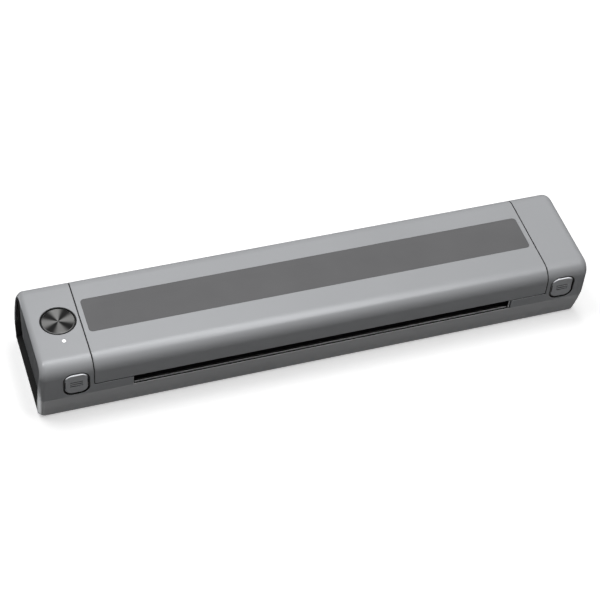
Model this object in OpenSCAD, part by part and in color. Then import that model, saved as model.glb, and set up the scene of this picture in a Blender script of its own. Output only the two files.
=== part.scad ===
/* [Casing] */
// Length between the planes that the rounded ends would reach; the rims stop 0.2 short at each end
body_l = 315.4; // [306:0.2:324]
// Overall depth, front to back
body_d = 64; // [63:0.5:67]
// Overall height, with the feet
body_h = 39; // [38.5:0.5:42]
// Height that the feet hold the casing up
foot_gap = 0.8; // [0.5:0.1:1.5]
// Wall of the casing and of the cover
wall = 1.8; // [1.6:0.1:2]
// Radius of the two long top edges
top_r = 8; // [7:0.5:10]
// Radius of the ends, seen from the front
end_r = 6; // [4:0.5:8]
// Radius of the ends, seen from above
end_plan_r = 5; // [4:0.5:8]
// Height of the line where the lower shell meets the upper housing
crease_z = 15.9; // [15.5:0.1:16.5]
// How far the lower shell leans in at its bottom
band_in = 2.25; // [1:0.25:3]
// Bevel along the bottom edge
bottom_bevel = 1.2; // [0.5:0.1:2]
// Gap of the seams beside the cover
seam_gap = 0.35; // [0.2:0.05:0.6]

/* [End recesses] */
// Depth from the end to the end plate
recess_depth = 3.5; // [2.5:0.1:4.5]
// Wall behind the end plate
end_wall = 1.5; // [1.2:0.1:2.5]
// Thickness of the end plates
plate_t = 1; // [0.8:0.1:1.5]
// Thickness of the black trim round the recess
trim_t = 0.9; // [0.6:0.1:1.5]
// Depth of the trim along the body
trim_l = 2.5; // [2:0.1:3]

/* [Cover] */
// Length of the left end block, end to seam
left_block = 30.8; // [29:0.1:34]
// Length of the right end block, seam to end
right_block = 24.9; // [24:0.1:28]
// Height of the cover's lower front edge
cover_edge_z = 22.4; // [21.5:0.1:24]
// Wall at the ends of the cover
cover_end_wall = 1.5; // [1.2:0.1:2]
// Length of the paper slots
slot_l = 217; // [212:1:222]
// Wall of the frame inside the cover
frame_wall = 1.2; // [1:0.1:1.6]
// Gap between the cover and the frame inside it
frame_gap = 0.1; // [0.05:0.05:0.3]

/* [Inlay] */
// Width of the dark inlay on the cover
inlay_w = 23.8; // [18:0.2:28]
// Bare margin between the inlay's ends and the seams
inlay_margin = 2.9; // [2:0.1:6]
// Corner radius of the inlay
inlay_r = 2.2; // [1:0.1:5]
// Thickness of the inlay
inlay_t = 0.5; // [0.3:0.1:0.7]
// Place of the inlay's middle, behind the body's middle
inlay_y = 1.8; // [0:0.1:3]

/* [Hinge] */
// Radius of the barrel along the cover's back edge
barrel_r = 2.5; // [2.2:0.1:2.7]
// Height of the hinge line
hinge_z = 24; // [23.8:0.1:26]
// Radius of the hinge pins
hinge_pin_r = 1; // [0.8:0.1:1.3]
// Length of each hinge pin
hinge_pin_l = 11; // [9:0.5:14]

/* [Push buttons] */
// Width of the holes of the two cover releases
push_w = 14.1; // [13:0.1:15]
// Height of the holes
push_h = 15.1; // [14.5:0.1:15.5]
// Corner radius of the holes
push_r = 4.8; // [3:0.1:6]
// Gap round each button
push_gap = 0.5; // [0.4:0.1:0.8]
// Height of the middle of the buttons
push_z = 24.95; // [24.8:0.05:25.2]
// Bare margin between a hole and the cover's seam
push_margin = 2.6; // [2:0.1:3.5]
// Thickness of the caps
push_t = 2.2; // [1.8:0.1:2.8]
// Travel of the buttons
push_travel = 2; // [1.5:0.1:2.5]

/* [Power button] */
// Radius of the hole in the left block
power_r = 9.9; // [8:0.1:11]
// Distance from the seam to the button's middle
power_from_seam = 11.6; // [11.4:0.1:13]
// Width of the black ring in the hole
power_ring = 0.65; // [0.4:0.05:1]
// Gap between the ring and the cap
power_gap = 0.3; // [0.2:0.05:0.5]
// Travel of the power button
power_travel = 0.5; // [0.3:0.1:0.8]
// Radius of the status light
light_r = 0.95; // [0.6:0.05:1.5]
// Distance of the status light in front of the button's middle
light_ahead = 14.4; // [13:0.1:15]

/* [Platen roller] */
// Radius of the rubber
platen_r = 7; // [6.6:0.1:7.2]
// Radius of the steel shaft
shaft_r = 3; // [2:0.1:3.5]
// Height of the roller's axis
platen_z = 27; // [26.9:0.1:27.3]
// Distance of the roller's axis in front of the middle
platen_ahead = 8; // [6:0.5:9]
// How far the rubber reaches past the slot at each end
rubber_past = 1.5; // [0.5:0.1:2]
// Clearance between the roller and the print head
nip_gap = 0.3; // [0.2:0.05:0.5]

/* [Gears] */
// Module of all the gears
gear_m = 0.5; // [0.48:0.01:0.51]
// Teeth of the gear on the roller
platen_teeth = 36; // [36]
// Teeth of the idler gear
idler_teeth = 28; // [28]
// Teeth of the small gears
pinion_teeth = 12; // [12]
// Teeth of the large drive gear
drive_teeth = 30; // [30]
// Thickness that each tooth gives up for play
tooth_play = 0.08; // [0.05:0.01:0.12]
// Width of the gear faces
gear_face = 3.8; // [3:0.1:4]
// Lean of the gear train above level
train_lean = 6; // [4:1:10]

/* [Print head] */
// Thickness of the ceramic heater plate
ceramic_t = 1; // [0.8:0.1:1.2]
// Width of the ceramic heater plate
ceramic_w = 10.2; // [9:0.1:11]
// Height of the aluminium heat sink
sink_h = 3.5; // [3:0.1:3.8]
// Width of the aluminium heat sink
sink_w = 18; // [17:0.5:19]
// Radius of the rod that the head pivots on
rod_r = 1.2; // [1:0.1:1.4]
// Height of that rod
rod_z = 11.4; // [10.5:0.1:11.6]

/* [Inside parts] */
// Thickness of the paper deck
deck_t = 1.6; // [1.4:0.1:1.8]
// Diameter of the motor
motor_d = 20; // [17:0.5:20.5]
// Length of the motor's can
motor_l = 20.4; // [17:0.2:20.6]
// Length of the battery pack
battery_l = 124; // [100:1:130]
// Width of the battery pack
battery_w = 15.4; // [12:0.2:15.6]
// Height of the battery pack
battery_h = 10.4; // [8:0.2:10.6]
// Length of the main board
board_l = 92; // [85:1:100]
// Width of the main board
board_w = 21; // [20:0.5:22]
// Thickness of the circuit boards
board_t = 1.6; // [1:0.1:1.8]

/* [Feet and screws] */
// Length of each rubber foot
foot_l = 14; // [8:0.5:20]
// Width of each rubber foot
foot_w = 5; // [3:0.5:6]
// Depth of the pockets that hold the feet
foot_pocket = 0.7; // [0.4:0.1:1]
// Radius of the screw shanks
screw_r = 0.9; // [0.7:0.05:1.1]
// Radius of the screw heads
screw_head_r = 1.8; // [1.5:0.1:2.2]
// Height of the screw heads
screw_head_h = 1.2; // [0.8:0.1:1.5]

/* [Hidden] */

// Colours of the finishes
paint = [0.46, 0.465, 0.475];
band_paint = [0.36, 0.365, 0.37];
dark_print = [0.27, 0.27, 0.28];
plate_grey = [0.25, 0.26, 0.27];
black = [0.06, 0.06, 0.065];
steel = [0.72, 0.73, 0.75];
green = [0.05, 0.28, 0.16];

// Number of straight steps in a drawn corner, and of sides on a full circle
arc_steps = 12;
$fn = 64;
// Overrun of every cut past the face that it opens
over = 1;
// Running gaps: a shaft in its bore, and two flat pieces that pass each other
bore_gap = 0.05;
slide_gap = 0.2;
pass_gap = 0.3;

// Faces and middles of the casing
half_l = body_l / 2;
half_d = body_d / 2;
floor_z = foot_gap + wall;
roof_z = body_h - wall;
front_in = half_d - wall;
recess_x = half_l - recess_depth - plate_t;
cavity_x = recess_x - end_wall;
cover_x0 = -half_l + left_block;
cover_x1 = half_l - right_block;
cover_mid = (cover_x0 + cover_x1) / 2;
slot_x0 = cover_mid - slot_l / 2;
slot_x1 = cover_mid + slot_l / 2;
lean = band_in / (crease_z - foot_gap);

// Hinge line, and the strips of the housing below the cover's edges
hinge_y = half_d - barrel_r;
front_strip_z = cover_edge_z - pass_gap;
back_strip_z = hinge_z - barrel_r - pass_gap;

// Roller, and the way that it leaves when the cover opens
platen_y = -platen_ahead;
arm_y = platen_y - hinge_y;
arm_z = platen_z - hinge_z;
arm_l = sqrt(arm_y * arm_y + arm_z * arm_z);
rubber_x0 = slot_x0 - rubber_past;
rubber_x1 = slot_x1 + rubber_past;

// Gear train: addendum and dedendum as shares of the module, and the pressure angle
addendum_share = 0.8;
dedendum_share = 1.1;
pressure = 20;
flank_steps = 3;
mesh_a = gear_m * (platen_teeth + idler_teeth) / 2;
mesh_b = gear_m * (idler_teeth + pinion_teeth) / 2;
mesh_c = gear_m * (drive_teeth + pinion_teeth) / 2;
idler_y = platen_y - mesh_a * arm_z / arm_l;
idler_z = platen_z + mesh_a * arm_y / arm_l;
drive_y = idler_y + mesh_b * cos(train_lean);
drive_z = idler_z + mesh_b * sin(train_lean);
motor_y = drive_y + mesh_c * cos(train_lean);
motor_z = drive_z + mesh_c * sin(train_lean);
to_idler = atan2(arm_y, -arm_z);
platen_phase = 0;
idler_phase = mesh_phase(to_idler, platen_phase, platen_teeth, idler_teeth);
drive_phase = mesh_phase(train_lean, idler_phase, idler_teeth, pinion_teeth);
pinion_phase = mesh_phase(train_lean, drive_phase, drive_teeth, pinion_teeth);

// Places along the body of what turns at the left end of the roller
cheek_gap = 3;
cheek_t = 2.5;
bush_r = 4.5;
cheek_r = 5.5;
plate_gap = 2.45;
gear_plate_t = 1;
gear_side_gap = 1.2;
cheek_left_x = rubber_x0 - cheek_gap - cheek_t;
cheek_right_x = rubber_x1 + cheek_gap;
gear_plate_x = cheek_left_x - plate_gap - gear_plate_t;
gears_x1 = gear_plate_x - gear_side_gap;
gears_x0 = gears_x1 - gear_face;
big_gear_face = 2.8;
big_gear_x1 = gears_x0 - gear_side_gap;
big_gear_x0 = big_gear_x1 - big_gear_face;
motor_plate_x = cover_x0 - wall - seam_gap / 2 - pass_gap - gear_plate_t;
axle_r = 1;
axle_head_r = 1.6;
axle_head = 0.7;
hub_r = 2;
gear_plate_top = 20;

// Paper deck, the sills that carry it and the strip at the paper exit
deck_rise = 0.1;
deck_z1 = crease_z + deck_rise;
deck_z0 = deck_z1 - deck_t;
deck_past = 6;
window_past = 3;
window_ahead = 8;
window_behind = 14.6;
window_y0 = platen_y - window_ahead;
window_y1 = platen_y + window_behind;
deck_edge = 3.1;
guide_t = 1.2;
guide_back = 1.7;
guide_h = 2.6;
guide_rise = 0.3;
guide_short = 1;
sill_h = 1.7;
sill_w = 3.6;
sill_out = half_d - guide_back - guide_t;
sill_gap = 0.1;
sill_z1 = deck_z0 - sill_gap;
sill_z0 = sill_z1 - sill_h;

// Print head
head_z1 = platen_z - platen_r - nip_gap;
ceramic_z0 = head_z1 - ceramic_t;
sink_z0 = ceramic_z0 - sink_h;
head_past = 1;
head_x0 = slot_x0 - head_past;
head_x1 = slot_x1 + head_past;
sink_ahead = 6;
sink_y0 = platen_y - sink_ahead;
rod_behind = 14.5;
rod_y = platen_y + rod_behind;
lug_r = 2.3;
lug_foot = 6.9;
lug_w = 4;
lug_in = 10;
rod_past = 5;
rib_t = 1.5;
rib_w = 6;
rib_over = 2.4;
rib_left_x = head_x0 - rod_past + rib_t / 2;
rib_right_x = head_x1 + rod_past - 3 * rib_t / 2;
head_spring_r = 2;
head_spring_wire = 0.6;
head_spring_turns = 6;
head_spring_ahead = 2;
head_spring_y = platen_y - head_spring_ahead;
spring_seat_h = 4.4;
head_spring_shares = [0.12, 0.5, 0.88];

// Release latches
push_left_x = cover_x0 - push_margin - push_w / 2;
push_right_x = cover_x1 + push_margin + push_w / 2;
cap_back = 0.1;
slider_w = 7;
slider_h = 5;
slider_in = 13;
slider_back = half_d - slider_in;
guide_shelf_t = 1.4;
shelf_z1 = push_z - push_h / 2;
slider_z0 = shelf_z1 + slide_gap;
slider_z1 = slider_z0 + slider_h;
latch_arm_h = 3;
latch_arm_w = 2.6;
latch_arm_in = 5.4;
latch_arm_front = half_d - latch_arm_in;
latch_arm_up = 0.8;
latch_arm_z0 = slider_z0 + latch_arm_up;
nose_w = 3.2;
nose_bevel = 1.2;
latch_spring_r = 2;
latch_spring_wire = 0.5;
latch_spring_turns = 4;
latch_spring_room = 5.5;
spring_wall_y = slider_back - latch_spring_room;
spring_wall_t = 1.5;
spring_wall_h = 6.6;
catch_in = 2.6;
lug_front = half_d - catch_in;
lug_t = 1.2;
barb = 1.3;
barb_h = 1.4;
barb_gap = 0.4;
lug_z0 = latch_arm_z0 - barb_gap - barb_h;
lug_off = 1.9;
window_gap = 0.6;

// Power button, its board and its light
power_x = cover_x0 - power_from_seam;
power_y = inlay_y;
light_y = power_y - light_ahead;
cap_r = power_r - bore_gap - power_ring - power_gap;
cap_t = 1.95;
cap_down = 0.05;
cap_bevel = 0.35;
ring_down = 0.15;
ring_flange = 1.3;
ring_flange_t = 0.95;
plunger_flange_t = 1;
plunger_r = 2;
nub_r = 1.7;
nub_h = 1.3;
nub_sunk = 0.7;
switch_w = 6;
switch_h = 3.4;
power_board_down = 11.2;
power_board_z = roof_z - power_board_down;
// Gap between the power board and the end wall, and its reach past the button and the light
power_board_in = 1.5;
power_board_right = 9.2;
power_board_ahead = 1.4;
power_board_behind = 16;
power_board_x0 = -cavity_x + power_board_in;
power_board_x1 = power_x + power_board_right;
power_board_y0 = light_y - power_board_ahead;
power_board_y1 = power_y + power_board_behind;
led_w = 1.6;
led_h = 0.7;
post_r = 2.2;
post_in = 2.6;

// Main board, its posts and what it carries
board_end_gap = 0.75;
board_x1 = cavity_x - board_end_gap;
board_x0 = board_x1 - board_l;
board_behind = 6;
board_y0 = platen_y + board_behind;
board_y1 = board_y0 + board_w;
board_up = 3.4;
board_z0 = floor_z + board_up;
board_post_r = 2;
board_post_in = 4;
board_right_in = 20;
usb_w = 8.9;
usb_h = 3.2;
usb_l = 7.4;
usb_wall = 0.3;
usb_tongue = 0.7;
usb_tongue_w = 5.9;
usb_corner = 1.45;
usb_in = 13;
usb_y = board_y0 + usb_in;
usb_hole_gap = 0.15;
usb_x1 = recess_x + plate_t;
usb_x0 = usb_x1 - usb_l;

// Battery and motor
battery_in = 7;
battery_from_back = 6.8;
battery_corner = 2;
battery_x0 = slot_x0 + battery_in;
battery_y1 = half_d - battery_from_back;
motor_boss_r = 3;
motor_boss_l = 1.2;
motor_cap_r = 4;
motor_cap_l = 0.6;
motor_shaft_in = 14;
motor_screw_out = 7.4;

// Corner screws, their columns, and the feet
column_r = 2.8;
column_in_x = 10.5;
column_in_y = 7;
column_x = half_l - column_in_x;
column_y = half_d - column_in_y;
column_front_right_in = 20;
column_front_right_y = -half_d + column_front_right_in;
column_z = 9;
screw_sink = 2.5;
base_screw_l = 12;
foot_in_x = 29.5;
foot_in_y = 10;
foot_x = half_l - foot_in_x;
foot_y = half_d - foot_in_y;
foot_r = 2;
deck_screw_x = 2.1;
deck_screw_in = 9.5;
deck_screw_y = half_d - deck_screw_in;
deck_post_r = 2.4;
short_screw_l = 5;
cover_screw_in = 24;
cover_screw_out = 3.5;
cover_screw_y = inlay_w / 2 + cover_screw_out;
cross_w = 0.5;
cross_l = 2.2;

// Ribs of the cover's frame
front_rib_ahead = 14;
front_rib_y = platen_y - front_rib_ahead;
back_rib_behind = 20;
back_rib_y = platen_y + back_rib_behind;
rib_down = 22;

// Routes of the two leads, points chosen by hand
motor_lead_r = 0.9;
motor_lead_route = [[-133, 21.9, 16], [-132.6, 23.8, 15], [-131.5, 24.3, 12.5], [-129, 24, 9],
    [-124, 23.4, 5.5], [-117, 23.2, 4.2], [-108, 26.5, 3.9], [-98, 26.6, 3.8], [-60, 26.6, 3.8],
    [-10, 26.6, 3.8], [30, 26.6, 3.8], [48, 25.6, 3.8], [57, 23.6, 3.9], [65, 20.4, 4.2], [71, 17.6, 4.8],
    [74, 16, 5.05]];
battery_lead_r = 0.8;
battery_lead_route = [[25.5, 14, 7], [29, 14, 7.1], [35, 13.4, 7.6], [42, 12.4, 8.6], [50, 11.6, 9.2],
    [58, 11.4, 9.2], [62, 12, 9.2], [66, 12.6, 9.2], [68.9, 12.6, 9.2]];

// Points of an arc, and of a rectangle with rounded corners
function arc_pts(cx, cy, r, a0, a1) =
    [for (i = [0:arc_steps]) let (a = a0 + (a1 - a0) * i / arc_steps) [cx + r * cos(a), cy + r * sin(a)]];
function rounded_pts(w, h, r) = concat(
    arc_pts(w / 2 - r, h / 2 - r, r, 0, 90),
    arc_pts(-w / 2 + r, h / 2 - r, r, 90, 180),
    arc_pts(-w / 2 + r, -h / 2 + r, r, 180, 270),
    arc_pts(w / 2 - r, -h / 2 + r, r, 270, 360));

// Cross-section of the casing, drawn in by the inset: front bottom, crease, top edges, back
function casing_pts(inset, bevel = 0) =
    let (low_y = half_d - band_in - inset, high_y = half_d - inset)
    let (low_z = foot_gap + inset, r = top_r - inset, arc_z = body_h - top_r)
    concat(
        [[-low_y + bevel, low_z], [-low_y - lean * bevel, low_z + bevel], [-high_y, crease_z]],
        arc_pts(-half_d + top_r, arc_z, r, 180, 90),
        arc_pts(half_d - top_r, arc_z, r, 90, 0),
        [[high_y, crease_z], [low_y + lean * bevel, low_z + bevel], [low_y - bevel, low_z]]);

// Involute teeth: the angle between tooth middle and flank shrinks with the radius
function involute(a) = tan(a) * 180 / PI - a;
function flank(n, r) =
    let (rp = gear_m * n / 2, rb = rp * cos(pressure))
    90 / n - tooth_play / 2 / rp * 180 / PI + involute(pressure) - (r > rb ? involute(acos(rb / r)) : 0);
function gear_pts(n) =
    let (rp = gear_m * n / 2, rb = rp * cos(pressure))
    let (tip = rp + addendum_share * gear_m, root = rp - dedendum_share * gear_m, low = max(rb, root))
    let (rs = concat([root], [for (i = [0:flank_steps]) low + (tip - low) * i / flank_steps]))
    [for (t = [0:n - 1]) for (s = [-1, 1]) for (i = [0:len(rs) - 1])
        let (r = s < 0 ? rs[i] : rs[len(rs) - 1 - i], a = 360 * t / n + s * flank(n, r))
        [r * cos(a), r * sin(a)]];
// Angle of a tooth on the next gear, so that it meets a gap across the line between the two
function mesh_phase(line, phase, n, next) = line + 180 + ((line - phase) * n / 360 + 0.5) * 360 / next;

// Extrusions of an outline drawn in the plane across each axis
module along_x(x0, x1) {
    translate([x0, 0, 0]) rotate([90, 0, 90]) linear_extrude(x1 - x0) children();
}
module along_y(y0, y1) {
    translate([0, y1, 0]) rotate([90, 0, 0]) linear_extrude(y1 - y0) children();
}
module along_z(z0, z1) {
    translate([0, 0, z0]) linear_extrude(z1 - z0) children();
}
module box(low, high) {
    translate(low) cube(high - low);
}
// A round bar along the body's length
module bar(x0, x1, y, z, r) {
    translate([x0, y, z]) rotate([0, 90, 0]) cylinder(h = x1 - x0, r = r);
}
// The whole casing as one solid, with rounded ends
module casing(inset, bevel = 0) {
    l = body_l - 2 * inset;
    intersection() {
        along_x(-l / 2, l / 2) polygon(casing_pts(inset, bevel));
        along_z(0, body_h + over) polygon(rounded_pts(l, body_d - 2 * inset, end_plan_r - inset));
        along_y(-half_d - over, half_d + over)
            translate([0, (body_h + foot_gap) / 2])
                polygon(rounded_pts(l, body_h - foot_gap - 2 * inset, end_r - inset));
    }
}
module recesses() {
    for (s = [-1, 1])
        along_x(s < 0 ? -half_l - over : recess_x, s < 0 ? -recess_x : half_l + over)
            polygon(casing_pts(wall));
}
// A cross-head screw that stands on its shank's end at the origin, head upwards
module screw(shank_l) {
    difference() {
        union() {
            cylinder(h = shank_l + over / 2, r = screw_r);
            translate([0, 0, shank_l]) cylinder(h = screw_head_h, r = screw_head_r);
        }
        for (a = [0, 90])
            rotate([0, 0, a])
                translate([-cross_l / 2, -cross_w / 2, shank_l + screw_head_h / 2])
                    cube([cross_l, cross_w, screw_head_h]);
    }
}
// A compression spring of round wire that stands on the origin
turn_rings = 10;
wire_sides = 6;
module spring(mean_r, wire, turns, length) {
    wire_r = wire / 2;
    rings = turn_rings * turns;
    rise = length - wire;
    slope = atan2(rise / turns, 2 * PI * mean_r);
    pts = [for (i = [0:rings]) for (k = [0:wire_sides - 1])
        let (t = 360 * turns * i / rings, b = 360 * k / wire_sides)
        let (out = mean_r + wire_r * cos(b), up = wire_r * sin(b))
        [out * cos(t) + up * sin(slope) * sin(t), out * sin(t) - up * sin(slope) * cos(t),
            wire_r + rise * i / rings + up * cos(slope)]];
    tube_mesh(pts, rings, wire_sides);
}
// Faces of a tube whose rings of points follow one another
module tube_mesh(pts, rings, sides) {
    skin = [for (i = [0:rings - 1]) for (k = [0:sides - 1])
        let (a = i * sides + k, b = i * sides + (k + 1) % sides)
        each [[a, b + sides, a + sides], [a, b, b + sides]]];
    caps = [[for (k = [sides - 1:-1:0]) k], [for (k = [0:sides - 1]) rings * sides + k]];
    polyhedron(points = pts, faces = concat(skin, caps), convexity = 10);
}
// A round lead along a route: each leg is cut into smooth steps through its points, and the rings
// of the tube are turned about its line from a direction that no leg runs in
lead_steps = 5;
lead_sides = 8;
ring_hint = [0.3, 0.2, 1];
function unit(v) = v / norm(v);
function route_at(p, i, t) =
    let (n = len(p) - 1, a = p[max(i - 1, 0)], b = p[i], c = p[i + 1], d = p[min(i + 2, n)])
    0.5 * (2 * b + (c - a) * t + (2 * a - 5 * b + 4 * c - d) * t * t + (3 * b - a - 3 * c + d) * t * t * t);
module lead(route, r) {
    line = concat([for (i = [0:len(route) - 2]) for (k = [0:lead_steps - 1])
        route_at(route, i, k / lead_steps)], [route[len(route) - 1]]);
    last = len(line) - 1;
    pts = [for (i = [0:last])
        let (dir = unit(line[min(i + 1, last)] - line[max(i - 1, 0)]))
        let (side = unit(cross(dir, ring_hint)), up = cross(side, dir))
        for (k = [0:lead_sides - 1]) let (b = 360 * k / lead_sides)
            line[i] + r * cos(b) * side + r * sin(b) * up];
    tube_mesh(pts, last, lead_sides);
}
// The four corner columns, and the screws' places in them
column_places = [[-column_x, -column_y], [-column_x, column_y], [column_x, column_front_right_y],
    [column_x, column_y]];
deck_screw_places = [for (x = [slot_x0 - deck_past + deck_screw_x, slot_x1 + deck_past - deck_screw_x])
    for (y = [-deck_screw_y, deck_screw_y]) [x, y]];
board_screw_places = [for (x = [board_x0 + board_post_in, board_x1 - board_right_in])
    for (y = [board_y0 + board_post_in, board_y1 - board_post_in]) [x, y]];
power_post_places = [[power_board_x0 + post_in, power_board_y0 + post_in],
    [power_board_x1 - post_in, power_board_y1 - post_in]];
cover_screw_places = [for (x = [slot_x0 + cover_screw_in, slot_x1 - cover_screw_in])
    for (s = [-1, 1]) [x, inlay_y + s * cover_screw_y]];

module bottom_shell() color(band_paint) {
    difference() {
        union() {
            difference() {
                intersection() {
                    casing(0, bottom_bevel);
                    box([-body_l, -body_d, 0], [body_l, body_d, crease_z]);
                }
                along_x(-cavity_x, cavity_x) polygon(casing_pts(wall));
                recesses();
                // Thinner lip where the paper leaves and where it goes in
                for (s = [-1, 1])
                    box([slot_x0 - over, min(s * (half_d - guide_t), s * half_d / 2), sill_z0],
                        [slot_x1 + over, max(s * (half_d - guide_t), s * half_d / 2), crease_z + over]);
            }
            for (p = column_places)
                translate([p[0], p[1], foot_gap + wall / 2])
                    cylinder(h = column_z - foot_gap - wall / 2, r = column_r);
            for (p = deck_screw_places)
                translate([p[0], p[1], foot_gap + wall / 2])
                    cylinder(h = deck_z0 - foot_gap - wall / 2, r = deck_post_r);
            for (p = board_screw_places)
                translate([p[0], p[1], foot_gap + wall / 2])
                    cylinder(h = board_z0 - foot_gap - wall / 2, r = board_post_r);
            for (x = [rib_left_x, rib_right_x])
                box([x, rod_y - rib_w / 2, foot_gap + wall / 2],
                    [x + rib_t, rod_y + rib_w / 2, rod_z + rib_over]);
            for (s = head_spring_shares)
                translate([head_x0 + s * (head_x1 - head_x0), head_spring_y, foot_gap + wall / 2])
                    cylinder(h = floor_z + spring_seat_h - foot_gap - wall / 2,
                        r = head_spring_r + head_spring_wire);
        }
        for (p = column_places) {
            translate([p[0], p[1], -over]) cylinder(h = column_z + 2 * over, r = screw_r + bore_gap);
            translate([p[0], p[1], -over])
                cylinder(h = foot_gap + screw_sink + over, r = screw_head_r + pass_gap);
        }
        for (p = deck_screw_places)
            translate([p[0], p[1], deck_z0 - short_screw_l])
                cylinder(h = short_screw_l + over, r = screw_r);
        for (p = board_screw_places)
            translate([p[0], p[1], floor_z + bore_gap])
                cylinder(h = board_z0, r = screw_r);
        bar(head_x0 - rod_past - over, head_x1 + rod_past + over, rod_y, rod_z, rod_r);
        for (x = [-foot_x, foot_x]) for (y = [-foot_y, foot_y])
            translate([x, y, 0]) along_z(-over, foot_gap + foot_pocket)
                polygon(rounded_pts(foot_l + slide_gap, foot_w + slide_gap, foot_r));
        // Mouth of the power socket, where it dips below the crease
        usb_cut(usb_hole_gap);
    }
}

module usb_cut(gap) {
    box([cavity_x - over, usb_y - usb_w / 2 - gap, board_z0 + board_t - gap],
        [half_l + over, usb_y + usb_w / 2 + gap, board_z0 + board_t + usb_h + gap]);
}

// One end block's latch guide: the shelf under the slider, its spring wall and the rib to the sill
module latch_guide(x) {
    box([x - slider_w / 2, -front_in - wall / 2, shelf_z1 - guide_shelf_t],
        [x + slider_w / 2, -spring_wall_y + spring_wall_t, shelf_z1]);
    box([x - slider_w / 2, -spring_wall_y, shelf_z1 - guide_shelf_t],
        [x + slider_w / 2, -spring_wall_y + spring_wall_t, shelf_z1 + spring_wall_h]);
    box([x - slider_w / 2, -sill_out, sill_z0], [x + slider_w / 2, -sill_out + sill_w, shelf_z1]);
}

module upper_housing() color(paint) {
    cut_x0 = cover_x0 - seam_gap / 2;
    cut_x1 = cover_x1 + seam_gap / 2;
    difference() {
        union() {
            difference() {
                intersection() {
                    casing(0, bottom_bevel);
                    box([-body_l, -body_d, crease_z], [body_l, body_d, body_h + over]);
                }
                // Hollow of each end block, and the bay between them
                along_x(-cavity_x, cut_x0 - wall) polygon(casing_pts(wall));
                along_x(cut_x1 + wall, cavity_x) polygon(casing_pts(wall));
                along_x(cut_x0, cut_x1) polygon(casing_pts(wall));
                recesses();
                box([cut_x0, -body_d, front_strip_z], [cut_x1, body_d, body_h + over]);
                box([cut_x0, 0, back_strip_z], [cut_x1, body_d, body_h + over]);
                box([slot_x0, -body_d, crease_z - over], [slot_x1, body_d, body_h]);
            }
            // Columns that the corner screws pull on
            for (p = column_places)
                translate([p[0], p[1], column_z]) cylinder(h = roof_z + wall / 2 - column_z, r = column_r);
            for (p = power_post_places)
                translate([p[0], p[1], power_board_z + board_t])
                    cylinder(h = roof_z + wall / 2 - power_board_z - board_t, r = post_r);
            latch_guide(push_left_x);
            latch_guide(push_right_x);
            // Sills along front and back, which carry the paper deck
            for (s = [-1, 1])
                box([push_left_x, min(s * sill_out, s * (sill_out - sill_w)), sill_z0],
                    [push_right_x, max(s * sill_out, s * (sill_out - sill_w)), sill_z1]);
            for (x = [push_left_x, push_right_x])
                box([x - slider_w / 2, sill_out - sill_w, sill_z0],
                    [x + slider_w / 2, sill_out, crease_z + wall]);
            for (x = [push_left_x, push_right_x])
                box([x - slider_w / 2, sill_out - wall / 2, crease_z + sill_gap],
                    [x + slider_w / 2, half_d - wall / 2, crease_z + wall]);
            // Bosses for the hinge pins
            bar(cut_x0 - hinge_pin_l / 2, cut_x0, hinge_y, hinge_z, barrel_r - sill_gap);
            bar(cut_x1, cut_x1 + hinge_pin_l / 2, hinge_y, hinge_z, barrel_r - sill_gap);
        }
        for (p = column_places)
            translate([p[0], p[1], 0]) cylinder(h = foot_gap + screw_sink + base_screw_l, r = screw_r);
        for (p = power_post_places)
            translate([p[0], p[1], power_board_z])
                cylinder(h = board_t + short_screw_l, r = screw_r);
        bar(cut_x0 - hinge_pin_l / 2 - over, cut_x1 + hinge_pin_l / 2 + over, hinge_y, hinge_z, hinge_pin_r);
        for (x = [push_left_x, push_right_x])
            along_y(-half_d - over, -front_in + over)
                translate([x, push_z]) polygon(rounded_pts(push_w, push_h, push_r));
        // Windows that the latch arms reach through
        for (x = [cut_x0 - wall - over / 2, cut_x1 - over / 2])
            box([x, -latch_arm_front - window_gap, latch_arm_z0 - window_gap],
                [x + wall + over, -latch_arm_front + latch_arm_w + push_travel + window_gap,
                    latch_arm_z0 + latch_arm_h + window_gap]);
        translate([power_x, power_y, roof_z - over]) cylinder(h = wall + 2 * over, r = power_r);
        translate([power_x, light_y, roof_z - over])
            cylinder(h = wall + 2 * over, r = light_r + bore_gap);
    }
}

module end_trim(s) color(black) {
    along_x(s < 0 ? -recess_x - trim_l : recess_x, s < 0 ? -recess_x : recess_x + trim_l)
        difference() {
            polygon(casing_pts(wall + sill_gap));
            polygon(casing_pts(wall + sill_gap + trim_t));
        }
}
module end_trim_left() end_trim(-1);
module end_trim_right() end_trim(1);

module end_plate(s) color(plate_grey) {
    along_x(s < 0 ? -recess_x - plate_t : recess_x, s < 0 ? -recess_x : recess_x + plate_t)
        polygon(casing_pts(wall + sill_gap + trim_t + slide_gap));
}
module end_plate_left() end_plate(-1);
module end_plate_right() color(plate_grey) difference() {
    end_plate(1);
    usb_cut(usb_hole_gap);
}

module rubber_feet() color(black)
    for (x = [-foot_x, foot_x]) for (y = [-foot_y, foot_y])
        translate([x, y, 0]) along_z(0, foot_gap + foot_pocket)
            polygon(rounded_pts(foot_l, foot_w, foot_r));

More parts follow.
